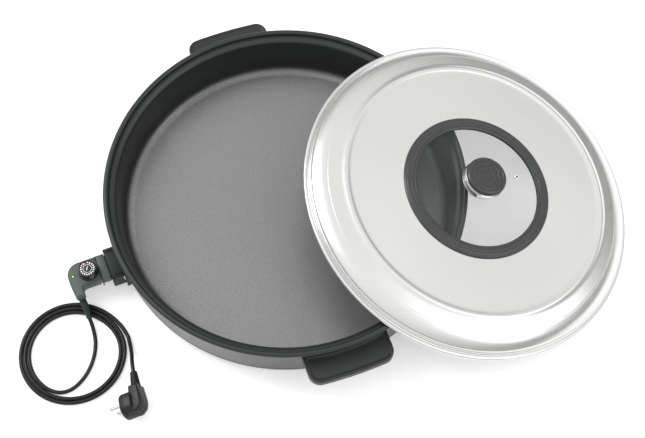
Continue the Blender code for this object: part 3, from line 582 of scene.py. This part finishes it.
def screw_mesh(name, head, length, thick):
    """A pan-head screw with a cross recess and a threaded shank, pointing down -Z from its head."""
    shank = head * 0.48
    pitch = 0.9 * MM
    profile = [(0, thick), (head * 0.45, thick * 0.97), (head * 0.8, thick * 0.72), (head, thick * 0.2)]
    profile += [(head, 0), (shank, 0), (shank, -0.6 * MM)]
    turns = int((length - 1.2 * MM) / pitch)
    for k in range(turns):
        z = -0.7 * MM - k * pitch
        profile += [(shank * 0.82, z), (shank, z - 0.35 * MM), (shank, z - 0.5 * MM)]
    profile += [(shank * 0.8, -length + 0.3 * MM), (0, -length)]
    body = bpy.data.objects.new(name, lathe(name, profile, 28))
    shape = bmesh.new()
    for turn in (0, math.pi / 2):
        block(
            shape, (-head * 0.55, -head * 0.1, thick * 0.35), (head * 0.55, head * 0.1, thick * 1.6),
            Matrix.Rotation(turn, 4, "Z"),
        )
    cross = bpy.data.objects.new("cross", to_mesh(shape, "cross"))
    for obj in (body, cross):
        bpy.context.scene.collection.objects.link(obj)
    step = body.modifiers.new("recess", "BOOLEAN")
    step.operation = "DIFFERENCE"
    step.object = cross
    step.use_self = True
    ready = body.evaluated_get(bpy.context.evaluated_depsgraph_get())
    mesh = bpy.data.meshes.new_from_object(ready)
    for obj in (body, cross):
        bpy.data.objects.remove(obj, do_unlink=True)
    mesh.name = name
    mesh.set_sharp_from_angle(angle=math.radians(30))
    return mesh


def screws():
    """Every screw, at its CAD node's place: its head is at the end of the box that it points to."""
    down = (0, 0, -1)
    across = Vector((-math.sin(HANDLE_TURN), math.cos(HANDLE_TURN), 0))
    found = [(f"handle_screw_{k}", 3.1, down, "pan") for k in range(1, 5)]
    found += [("bracket_screw_1", 3.1, across, "pan"), ("bracket_screw_2", 3.1, -across, "pan")]
    found += [(f"socket_screw_{k}", 3.1, (-1, 0, 0), "pan") for k in (1, 2)]
    found += [(f"cover_screw_{k}", 2.7, down, "thermostat") for k in (1, 2)]
    found += [("housing_screw", 6.9, down, "pan")]
    for node, head, direction, body in found:
        low, high = (Vector(v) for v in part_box(node))
        direction = Vector(direction)
        half = abs(direction.dot(high - low)) / 2
        thick = 0.6 * head * MM if head < 5 else 2.6 * MM
        seat = (low + high) / 2 + direction * (half - thick)
        mesh = screw_mesh(f"{node}.screw", head * MM, 2 * half - thick - 0.2 * MM, thick)
        place = Matrix.Translation(seat) @ direction_turn(direction)
        piece(f"{node}.screw", mesh, STEEL, body, (node,), place)


# ---- lid ----------------------------------------------------------------------------------------

def lid():
    """Spun lid: rolled edge, pressed lines inside it, convex shoulder, raised step and flat crown."""
    sheet = 0.8 * MM
    outside = rounded(in_mm([
        (104, 30.4), (150, 30.25, 20), (187, 29.5, 4), (190.6, 30.7, 1.8), (194.4, 31.1, 1.8),
        (197.6, 29.3, 1.8), (201, 27.6, 3), (217.4, 23.15, 0.6), (218.3, 22.55, 0.5), (219.4, 22.5, 0.6),
        (229, 18.1, 9),
        (236.4, 11.8, 2.2), (237.5, 10.2, 0.6), (237.9, 9.0, 0.6), (239.2, 8.2, 0.6), (239.6, 6.9, 0.6),
        (240.7, 6.0, 0.6), (241.6, 3.4, 0.6),
    ]), 1 * MM)
    curl = arc((243.4 * MM, 0), 3 * MM, 118, -150, 20)
    outer = outside + curl
    inner = []
    for k in range(len(outer)):
        before, after = Vector(outer[max(0, k - 1)]), Vector(outer[min(len(outer) - 1, k + 1)])
        along = (after - before).normalized()
        inner.append(tuple(Vector(outer[k]) + Vector((along.y, -along.x)) * sheet))
    profile = outer + list(reversed(inner))
    mesh = lathe("lid_dome", profile, sharp=55)
    piece("lid_dome", mesh, LID_STEEL, "lid", ("lid_shell",), LID_PLACE)


def window():
    """Ribbed silicone ring round the glass, and a bright steam vent whose hole is filled with a dark disc
    as painted shade.
    """
    gasket = rounded(in_mm([
        (91.2, 32.7, 0.3), (91.4, 33.7, 0.6), (93.2, 34.5, 0.6), (94.4, 34.6, 0.3), (94.9, 34.0, 0.2),
        (95.7, 34.0, 0.2), (96.2, 34.7, 0.3), (100.4, 34.9, 0.6), (101.2, 34.3, 0.2), (102.0, 34.3, 0.2),
        (102.8, 34.8, 0.4), (105.8, 34.1, 0.8), (106.4, 33.3, 0.2), (107.2, 33.1, 0.2), (107.9, 33.2, 0.3),
        (109.4, 31.8, 0.5), (109.6, 30.6, 0.2), (104.2, 30.6, 0.1), (103.5, 29.2, 0.1), (109, 29.1, 0.3),
        (108, 27.5, 0.5), (93, 27.2, 0.5), (92.4, 28.2, 0.2), (99.2, 28.3, 0.1), (99.2, 32.7, 0.1),
    ]), 0.3 * MM, closed=True)
    mesh = lathe("gasket_ring", gasket, sharp=60)
    piece("gasket_ring", mesh, SILICONE, "lid", ("window_gasket",), LID_PLACE)
    glass = rounded(in_mm([
        (3.3, 28.6, 0.3), (98.9, 28.6, 0.8), (98.9, 32.4, 0.8), (3.3, 32.4, 0.3),
    ]), 0.3 * MM, closed=True)
    mesh = lathe("glass_pane", glass, sharp=60)
    piece("glass_pane", mesh, GLASS, "lid", ("window_glass",), LID_PLACE)
    eyelet = rounded(in_mm([
        (1.5, 28.0), (1.5, 33.0, 0.5), (2.0, 33.5, 0.3), (2.9, 33.4, 0.3), (3.4, 32.9, 0.3),
        (2.6, 32.7, 0.1), (2.6, 28.0),
    ]), 0.2 * MM, closed=True)
    spot = LID_PLACE @ Matrix.Translation(Vector((61.0, 25.3, 0)) * MM)
    mesh = lathe("vent_ring", eyelet, COARSE)
    piece("vent_ring", mesh, CHROME, "lid", ("vent_eyelet",), spot)
    # A dark disc in the rubber's colour fills the vent's hole: painted shade.
    shade = rounded(in_mm([(0, 28.4), (1.45, 28.4), (1.45, 32.4, 0.2), (0, 32.2)]), 0.1 * MM)
    piece("vent_painted_shade", lathe("vent_painted_shade", shade, 32), RUBBER, "lid", (), spot)


def knob():
    """Screwed knob: flat screw and washer below, waisted stem, bright collar, ringed cap."""
    cap = rounded(in_mm([
        (0, 69.1), (6.4, 69.2, 0.3), (6.9, 68.7, 0.2), (7.7, 68.7, 0.2), (8.2, 69.3, 0.3),
        (14.4, 69.35, 0.3), (14.9, 68.85, 0.2), (15.7, 68.85, 0.2), (16.2, 69.4, 0.3), (21.4, 69.45, 0.5),
        (22.2, 68.9, 0.3), (23.2, 68.9, 0.3), (24.0, 69.75, 0.5), (26.6, 69.4, 1.2), (28.9, 67.4, 1.6),
        (29.5, 64.6, 1.5), (28.6, 61.7, 0.4), (0, 61.7),
    ]), 0.5 * MM)
    mesh = lathe("knob_top", cap, 128, 50)
    piece("knob_top", mesh, KNOB_BLACK, "lid", ("knob_cap",), LID_PLACE)
    collar = rounded(in_mm([
        (6, 61.4), (28.3, 61.4, 0.4), (28.9, 60.2, 0.4), (29.6, 59.0, 0.5), (30.3, 56.2, 1.5),
        (30.2, 53.4, 0.5), (30.7, 52.8, 0.4), (30.7, 52.0, 0.4), (29.6, 50.3, 0.6), (6, 50.3),
    ]), 0.2 * MM, closed=True)
    mesh = lathe("knob_trim", collar, 128)
    piece("knob_trim", mesh, CHROME, "lid", ("knob_collar",), LID_PLACE)
    stem = rounded(in_mm([
        (0, 50), (22.0, 50, 0.5), (22.4, 48.2, 1.2), (16.4, 43.4, 3), (14.6, 38.8, 3), (17, 34.8, 1),
        (17, 34.1, 0.3), (3, 34.1), (3, 46), (0, 46),
    ]), 0.5 * MM)
    mesh = lathe("knob_neck", stem, 96)
    piece("knob_neck", mesh, KNOB_BLACK, "lid", ("knob_stem",), LID_PLACE)
    washer = rounded(in_mm([(3, 32.8), (18, 32.8, 0.3), (18, 33.8, 0.3), (3, 33.8)]), 0.2 * MM, closed=True)
    mesh = lathe("knob_seal", washer, 96)
    piece("knob_seal", mesh, RUBBER, "lid", ("knob_washer",), LID_PLACE)
    screw = rounded(in_mm([
        (0, 45), (2.6, 45, 0.3), (2.6, 28.2), (9, 28.2, 0.2), (8.2, 27.2, 0.3), (1.2, 27.2),
        (1.2, 27.7), (0, 27.7),
    ]), 0.15 * MM)
    mesh = lathe("knob_bolt", screw, 48)
    piece("knob_bolt", mesh, STEEL, "lid", ("knob_screw",), LID_PLACE)


# ---- thermostat ---------------------------------------------------------------------------------

def socket():
    """Socket on the pan's wall, with its flange, terminals and probe guide."""
    refined("inlet_socket", SOCKET, "pan", 1.1 * MM)
    rib_y = 19.6
    for y in (-rib_y, rib_y):
        shape = bmesh.new()
        low = PAN + Vector((-271.6, y - 1.1, 37.6)) * MM
        high = PAN + Vector((-257.0, y + 1.1, 39.3)) * MM
        block(shape, low, high)
        chamfer(shape, 0.5 * MM)
        side = "left" if y < 0 else "right"
        piece(f"socket_rib_{side}", to_mesh(shape, "socket_rib"), SOCKET, "pan")
    for node in ("terminal_pin_1", "terminal_pin_2", "probe_guide_tube", "heating_element"):
        paint(node, STEEL)
    for number in (1, 2, 3):
        paint(f"element_clip_{number}", STEEL)


def paint(node, look):
    """A CAD node whose shape is right keeps it, with a better material."""
    for holder in frame["nodes"][node].material_slots:
        holder.material = look


def case_loop(inset, height):
    """The case's outline from above: an arm along X, an elbow, and a leg down to the lead."""
    half = 18.4 - inset
    left, right = -330.5 + inset, -314.8 - inset
    seam = -285.8 - inset
    elbow = arc((-312, 0), half, 90, 176, 16)
    inner = arc((-308.4, -24.4), 6 + inset, 176, 90, 12)
    end = -33.5 + inset
    foot = arc((left + 3.2, end + 1.2), 1.2, 200, 270, 5)
    heel = arc((right - 1.0, end + 1.2), 1.2, 270, 350, 5)
    outer = [(seam, half), *elbow, (left + 0.1, -9), (left + 0.4, -17), *foot]
    points = [*outer, *heel, *inner, (seam, -half)]
    return [tuple(PAN + Vector((x, y, height)) * MM) for x, y in points]


def case():
    """Two-part case: crowned cover with a fine line round its top, paler base with grip ribs."""
    cover = [
        (2.0, 24.15), (1.3, 24.15), (1.0, 24.5), (0.1, 30), (0, 35.8), (0.2, 36.6), (0.7, 37.2),
        (1.3, 37.4), (1.45, 36.9), (2.0, 36.9), (2.15, 37.6), (2.6, 37.95), (3.1, 38.0),
    ]
    mesh = loft("case_top", [case_loop(*level) for level in cover], 30)
    piece("case_top", mesh, CASE, "thermostat", ("case_cover",))
    base = [
        (6.2, 10.6), (5.0, 10.65), (4.3, 11.2), (3.9, 12.0), (1.6, 22.6), (2.0, 22.9), (2.0, 23.3),
        (1.5, 23.5), (1.5, 23.85), (2.2, 23.85),
    ]
    mesh = loft("case_bottom", [case_loop(*level) for level in base], 30)
    piece("case_bottom", mesh, CASE_LOWER, "thermostat", ("case_base",))
    shape = bmesh.new()
    for k in range(7):
        x = -300.5 + 2.1 * k
        block(shape, PAN + Vector((x, -18.35, 26.0)) * MM, PAN + Vector((x + 0.9, -17.2, 34.2)) * MM)
    chamfer(shape, 0.2 * MM, 1)
    piece("case_ribs", to_mesh(shape, "case_ribs"), CASE_LOWER, "thermostat")
    shape = bmesh.new()
    block(shape, PAN + Vector((-286.6, -18.2, 14.0)) * MM, PAN + Vector((-284.8, 18.2, 37.99)) * MM)
    chamfer(shape, 0.2 * MM)
    piece("case_seam", to_mesh(shape, "case_seam"), PLUG_BLACK, "thermostat")
    nose = refined("plug_in_nose", CASE, "thermostat", 0.8 * MM)
    behind = PAN.x - 272.9 * MM
    taper = 4.2 * MM
    for vertex in nose.data.vertices:
        side = vertex.co.y - PAN.y
        if vertex.co.x < behind and abs(side) > 16 * MM and vertex.co.z < 14 * MM:
            vertex.co.y -= math.copysign(taper, side)
    for node in ("temperature_probe", "contact_sleeve_1", "contact_sleeve_2"):
        paint(node, STEEL)
    paint("thermostat_switch", PLUG_BLACK)


def lamp():
    """Green lamp in a small dark bezel."""
    low, high = (Vector(v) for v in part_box("indicator_lens"))
    spot = Matrix.Translation(((low.x + high.x) / 2, (low.y + high.y) / 2, high.z - 0.6 * MM))
    lens = rounded(in_mm([(0, -3.4), (1.5, -3.4), (1.5, 0.1, 0.3), (1.0, 0.55, 0.4), (0, 0.6)]), 0.2 * MM)
    mesh = lathe("lamp_cap", lens, 32, 60)
    piece("lamp_cap", mesh, LENS, "thermostat", ("indicator_lens",), spot)
    ring = rounded(in_mm([
        (1.6, -0.6), (1.6, 0.12, 0.1), (2.3, 0.12, 0.15), (2.5, -0.15, 0.1), (2.5, -0.6),
    ]), 0.1 * MM, closed=True)
    mesh = lathe("lamp_bezel", ring, 32, 60)
    piece("lamp_bezel", mesh, PLUG_BLACK, "thermostat", (), spot)


def ring_sector(shape, inner, outer, start, end, low, high, steps=3):
    """A flat block between two radii and two angles."""
    turns = [math.radians(start + (end - start) * k / steps) for k in range(steps + 1)]
    flat = [(inner * math.cos(a), inner * math.sin(a)) for a in turns]
    flat += [(outer * math.cos(a), outer * math.sin(a)) for a in reversed(turns)]
    bottom = [shape.verts.new((x, y, low)) for x, y in flat]
    top = [shape.verts.new((x, y, high)) for x, y in flat]
    shape.faces.new(bottom)
    shape.faces.new(top)
    for k in range(len(flat)):
        shape.faces.new((bottom[k - 1], bottom[k], top[k], top[k - 1]))


def dial():
    """Glossy dial with a dished face, a silver scale of plain marks and a red mark at rest."""
    place = Matrix.Translation((DIAL.x, DIAL.y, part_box("dial_knob")[0][2] - 0.5 * MM))
    profile = rounded(in_mm([
        (0, 12.3), (11, 12.3, 0.2), (11.1, 13.5, 0.3), (11.7, 14, 0.4), (12.5, 13.6, 0.5),
        (12.9, 12.2, 0.5), (13.7, 4.2, 0.5), (13.5, 3.8, 0.2), (13.5, 3.2, 0.2), (13.9, 2.8, 0.3),
        (14, 0.6, 0.3), (3.3, 0.5), (3.3, 9), (0, 9),
    ]), 0.3 * MM)
    mesh = lathe("dial_body", profile, 96, 50)
    piece("dial_body", mesh, DIAL_BLACK, "dial", ("dial_knob",), place)
    marks = bmesh.new()
    for k in range(17):
        turn = 90 + 20 * k + 20
        inner = 8.2 if k % 3 else 7.6
        ring_sector(marks, inner * MM, 10.2 * MM, turn - 5.2, turn + 5.2, 12.2 * MM, 12.7 * MM)
    ring = in_mm([(5.75, 12.2), (6.3, 12.2), (6.3, 12.7), (5.75, 12.7)])
    marks.from_mesh(lathe("scale_ring", ring, 72))
    piece(
        "scale_marks", to_mesh(marks, "scale_marks"), SCALE, "dial", ("dial_scale",), place,
    )
    red = bmesh.new()
    ring_sector(red, 7.6 * MM, 10.4 * MM, 81, 99, 12.2 * MM, 12.8 * MM)
    piece("scale_red", to_mesh(red, "scale_red"), RED, "dial", (), place)
    pointer = rounded(in_mm([
        (0, 13.55), (4.3, 13.5, 0.5), (5.1, 13.1, 0.4), (5.2, 12.6), (0, 12.6),
    ]), 0.3 * MM)
    piece(
        "pointer_disc", lathe("pointer_disc", pointer, 48, 50), DIAL_BLACK, "dial",
        ("dial_pointer",), place,
    )
    bar = bmesh.new()
    block(
        bar, (-3.4 * MM, -0.55 * MM, 13.3 * MM), (3.4 * MM, 0.55 * MM, 13.8 * MM),
        Matrix.Rotation(math.radians(62), 4, "Z"),
    )
    chamfer(bar, 0.15 * MM)
    piece("pointer_bar", to_mesh(bar, "pointer_bar"), SCALE, "dial", (), place)
    paint("dial_shaft", DIAL_BLACK)


# ---- mains lead ---------------------------------------------------------------------------------

def relief():
    """Tapered sleeve where the lead leaves the case, with a neck inside it, ribs and an end ring."""
    along = RELIEF_END - RELIEF_START
    length = along.length / MM
    profile = [(0, -6), (5.0, -6), (5.0, 0.2), (5.5, 0.5, 0.3), (5.5, 2.3, 0.4), (5.0, 2.8, 0.3)]
    pitch = (length - 8.0) / 6
    for k in range(6):
        z = 3.6 + k * pitch
        radius = 5.1 - 0.22 * k
        profile += [(radius, z, 0.2), (radius - 0.1, z + 0.6 * pitch, 0.3)]
        profile += [(radius - 0.6, z + 0.7 * pitch, 0.2), (radius - 0.6, z + 0.93 * pitch, 0.2)]
    profile += [(3.4, length - 4.2, 0.3), (4.1, length - 3.8, 0.3), (4.0, length - 0.8, 0.5)]
    profile += [(3.5, length, 0.3), (0, length)]
    place = Matrix.Translation(RELIEF_START) @ direction_turn(along)
    mesh = lathe("lead_sleeve", rounded(in_mm(profile), 0.2 * MM), COARSE, 50)
    return piece("lead_sleeve", mesh, RELIEF, "thermostat", ("strain_relief",), place)


def plug():
    """Angled two-pin plug lying on its edge: ribbed sleeve, stepped back and bevelled face disc."""
    made = []

    def disc_loop(x, inset):
        """A circle with its top and bottom cut flat."""
        points = []
        for k in range(COARSE):
            a = 2 * math.pi * k / COARSE
            radius = 18.5 - inset
            flat = 17.2 - inset
            y, z = radius * math.cos(a), radius * math.sin(a)
            points.append((x * MM, y * MM, max(-flat, min(flat, z)) * MM))
        return points

    disc = [
        (2.2, 3.4), (2.2, 2.6), (0, 2.2), (0, 0.8), (0.3, 0.2), (0.9, 0), (4.6, 0), (4.9, 0.5),
        (5.3, 0.5), (5.6, 0), (15.6, 0.2), (17.0, 0.8), (18, 2.4),
    ]
    mesh = loft("plug_disc", [disc_loop(*level) for level in disc])
    made.append(
        piece("plug_disc", mesh, PLUG_BLACK, "thermostat", ("plug_body",), PLUG_PLACE)
    )

    outline = [
        (8, -14.5, 1), (14, -15.8, 2), (20, -16.3, 3), (27.6, -11, 2), (30.9, -2, 4), (29.5, 10, 4),
        (27.4, 24, 1), (14.6, 24, 1), (13.5, 14, 3), (8, 11, 1),
    ]
    centre = Vector((20, 2))

    def back_loop(z, inset):
        """The angled back's outline, drawn in towards its centre."""
        points = []
        for x, y in rounded(outline, 1, closed=True, pieces=3):
            inward = (centre - Vector((x, y))).normalized() * inset
            points.append(((x + inward.x) * MM, (y + inward.y) * MM, z * MM))
        return points

    back = [
        (-12.5, 3.4), (-12.3, 2.2), (-11.4, 0.9), (-9.8, 0), (-4.6, 0), (-4.2, 0.6), (-3.2, 0.6), (-2.8, 0),
    ]
    back += [(-z, inset) for z, inset in reversed(back)]
    mesh = loft("plug_back", [back_loop(*level) for level in back], 40)
    made.append(piece("plug_back", mesh, PLUG_BLACK, "thermostat", (), PLUG_PLACE))

    low, high = (v / MM for v in PLUG_RELIEF)
    low -= 4
    profile = [(0, low - 3), (7.2, low - 3), (7.2, low)]
    ribs = 7
    pitch = (high - low) / ribs
    for k in range(ribs):
        y = low + k * pitch
        radius = 7.0 - 0.28 * k
        profile += [(radius, y + 0.1, 0.2), (radius - 0.08, y + pitch * 0.62, 0.3)]
        profile += [(radius - 1.0, y + pitch * 0.7, 0.2), (radius - 1.0, y + pitch * 0.96, 0.2)]
    profile += [(3.6, high - 0.2, 0.3), (3.2, high, 0.2), (0, high)]
    mesh = lathe("plug_sleeve", rounded(in_mm(profile), 0.2 * MM), 48, 50)
    turn = Matrix.Translation((PLUG_CABLE_X, 0, 0)) @ Matrix.Rotation(math.radians(-90), 4, "X")
    made.append(
        piece("plug_sleeve", mesh, PLUG_BLACK, "thermostat", (), PLUG_PLACE @ turn)
    )
    pin = rounded(in_mm([
        (0, -19), (1.3, -18.8, 0.6), (2.1, -17.7, 0.9), (2.4, -16, 0.6), (2.4, 5.7), (0, 5.7),
    ]), 0.3 * MM)
    for number, side in ((1, -1), (2, 1)):
        middle = Matrix.Translation((0, 0, side * PIN_SPACING / 2))
        spot = middle @ Matrix.Rotation(math.radians(90), 4, "Y")
        mesh = lathe(f"plug_prong_{number}", pin, 32, 50)
        made.append(
            piece(
                f"plug_prong_{number}", mesh, STEEL, "thermostat", (f"plug_pin_{number}",),
                PLUG_PLACE @ spot,
            )
        )
        made.append(refined(f"plug_earth_clip_{number}", STEEL, "thermostat", 0.2 * MM))
    return made


# The lead's route in millimetres from the pan's axis: out of the case, the coil, and up to the plug.
# The first point is where the CAD tube starts; here the lead starts inside the sleeve.
LEAD_IN = [
    (-320.6, -58.4, 11.9), (-320.5, -65.0, 9.4), (-320.7, -72.0, 6.7), (-321.4, -79.0, 4.7),
    (-322.7, -87.0, 3.4), (-325.0, -95.5, 3.0), (-328.6, -104.5, 3.0), (-333.5, -113.5, 3.0),
    (-339.6, -122.0, 3.0), (-347.3, -130.3, 3.0), (-356.4, -137.6, 3.0), (-366.2, -143.0, 3.0),
    (-375.4, -145.9, 3.0),
]
LEAD_OUT = [
    (-278.8, -99.6, 3.0), (-279.1, -108.5, 4.0), (-279.9, -117.5, 6.8), (-281.1, -126.5, 11.2),
    (-282.7, -135.2, 16.3), (-284.6, -143.6, 20.4),
]
COIL_CENTRE = Vector((-358.2, -95.6))
JOINS_COIL = ((241.5, 57.4), (231, 60.1))  # degrees and radius, just before the first turn
LEAVES_COIL = (9.4, 77.0)                  # and just after the last
LEAD_RADIUS = 2.9
LEAD_HEIGHT = 3.0                     # of the lead's middle where it lies on the table
INNER_TURN = 61.0                     # radius of the innermost turn
PITCH = 5.9                           # between turns
COIL_START, COIL_END = 219.0, -697.5  # degrees, clockwise from above
SHIFT_START, SHIFT_END = 50.0, -22.0  # where each lap steps out


def coil_radius(turn):
    """Turns lie side by side and step out by one pitch as they pass the right-hand side."""
    radius = INNER_TURN
    for lap in range(3):
        start, end = SHIFT_START - 360 * lap, SHIFT_END - 360 * lap
        share = min(1.0, max(0.0, (start - turn) / (start - end)))
        radius += PITCH * (3 - 2 * share) * share * share
    return radius


def coil_point(turn, radius):
    """The lead's middle on the table, at an angle and a distance from the coil's centre."""
    a = math.radians(turn)
    flat = COIL_CENTRE + radius * Vector((math.cos(a), math.sin(a)))
    return PAN + Vector((*flat, LEAD_HEIGHT)) * MM


def smooth_route(points, step):
    """Points every step along one smooth curve through the given points."""
    made = [points[0].copy()]
    left = step
    ends = [points[0] * 2 - points[1], *points, points[-1] * 2 - points[-2]]
    for a, b, c, d in zip(ends, ends[1:], ends[2:], ends[3:]):
        pieces = 24
        last = b.copy()
        for k in range(1, pieces + 1):
            t = k / pieces
            here = 0.5 * (
                2 * b + (c - a) * t + (2 * a - 5 * b + 4 * c - d) * t * t
                + (3 * b - a - 3 * c + d) * t ** 3
            )
            gone = (here - last).length
            left -= gone
            if left <= 0:
                made.append(here.copy())
                left += step
            last = here
    if (made[-1] - points[-1]).length < step / 2:
        made.pop()
    made.append(points[-1].copy())
    return made


def lead(with_pieces):
    """One cord: out of the case, inside its own coil, two and a half laps, and up to the plug."""
    route = [RELIEF_END]
    route += [PAN + Vector(p) * MM for p in LEAD_IN[1:]]
    route += [coil_point(turn, radius) for turn, radius in JOINS_COIL]
    steps = 84
    for k in range(steps + 1):
        turn = COIL_START + (COIL_END - COIL_START) * k / steps
        route.append(coil_point(turn, coil_radius(turn)))
    route.append(coil_point(*LEAVES_COIL))
    route += [PAN + Vector(p) * MM for p in LEAD_OUT]
    for along in (PLUG_RELIEF[1] + 9 * MM, PLUG_RELIEF[1] - 1.0 * MM):
        route.append(PLUG_PLACE @ Vector((PLUG_CABLE_X, along, 0)))
    points = smooth_route(route, 2.4 * MM)
    curve = bpy.data.curves.new("mains_lead", "CURVE")
    curve.dimensions = "3D"
    spline = curve.splines.new("POLY")
    spline.points.add(len(points) - 1)
    for knot, point in zip(spline.points, points):
        knot.co = (*point, 1)
    curve.bevel_depth = LEAD_RADIUS * MM
    curve.bevel_resolution = 5
    curve.use_fill_caps = True
    spline.use_smooth = True
    curve.materials.append(LEAD)
    obj = bpy.data.objects.new("mains_lead", curve)
    bpy.context.scene.collection.objects.link(obj)
    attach(obj, "thermostat")
    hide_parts("cord_lead", "cord_coil", "cord_tail")


# ---- stage --------------------------------------------------------------------------------------

def table_top():
    """Pale floor, large enough for every view."""
    nodes = Nodes("pale_floor", (0.82, 0.82, 0.82), 0.6)
    nodes.shader.inputs["Emission Color"].default_value = (1, 1, 1, 1)
    nodes.shader.inputs["Emission Strength"].default_value = 0.38
    nodes.roughness(nodes.spread(nodes.noise(3, 3.0), 0.55, 0.7))
    shape = bmesh.new()
    half, under = 6.0, -0.1 * MM
    corners = ((-half, -half), (half, -half), (half, half), (-half, half))
    shape.faces.new([shape.verts.new((x, y, under)) for x, y in corners])
    obj = bpy.data.objects.new("table_top", to_mesh(shape, "table_top"))
    obj.data.materials.append(nodes.material)
    bpy.context.scene.collection.objects.link(obj)


def softbox(name, place, size, power):
    """A rectangular light that faces the origin."""
    data = bpy.data.lights.new(name, "AREA")
    data.shape = "RECTANGLE"
    data.size, data.size_y = size
    data.energy = power
    obj = bpy.data.objects.new(name, data)
    obj.location = place
    obj.rotation_euler = (-Vector(place)).to_track_quat("-Z", "Y").to_euler()
    bpy.context.scene.collection.objects.link(obj)


def lights():
    """Bright above and dark towards the horizon, so that steep sides turn dark as in a studio."""
    world = bpy.data.worlds.new("studio")
    world.use_nodes = True
    tree = world.node_tree
    where = tree.nodes.new("ShaderNodeTexCoord")
    parts = tree.nodes.new("ShaderNodeSeparateXYZ")
    ramp = tree.nodes.new("ShaderNodeValToRGB")
    tree.links.new(where.outputs["Generated"], parts.inputs["Vector"])
    tree.links.new(parts.outputs["Z"], ramp.inputs["Fac"])
    tree.links.new(ramp.outputs["Color"], tree.nodes["Background"].inputs["Color"])
    steps = ramp.color_ramp.elements
    steps[0].position, steps[0].color = 0.0, (0.3, 0.3, 0.3, 1)
    steps[1].position, steps[1].color = 1.0, (1, 1, 1, 1)
    for position, level in ((0.25, 0.42), (0.5, 0.8), (0.75, 1.0)):
        steps.new(position).color = (level, level, level, 1)
    tree.nodes["Background"].inputs["Strength"].default_value = 1.1
    scene = bpy.context.scene
    scene.world = world
    scene.view_settings.view_transform = "Standard"
    softbox("key", (-1.7, 1.5, 2.3), (1.2, 1.8), 45)
    softbox("fill", (1.8, -1.6, 2.2), (2.0, 2.0), 20)


# ---- making -------------------------------------------------------------------------------------

camera()
sleeve = relief()
lead([sleeve, *plug()])
pan()
feet()
handles()
lid()
window()
knob()
socket()
case()
lamp()
dial()
screws()
table_top()
lights()
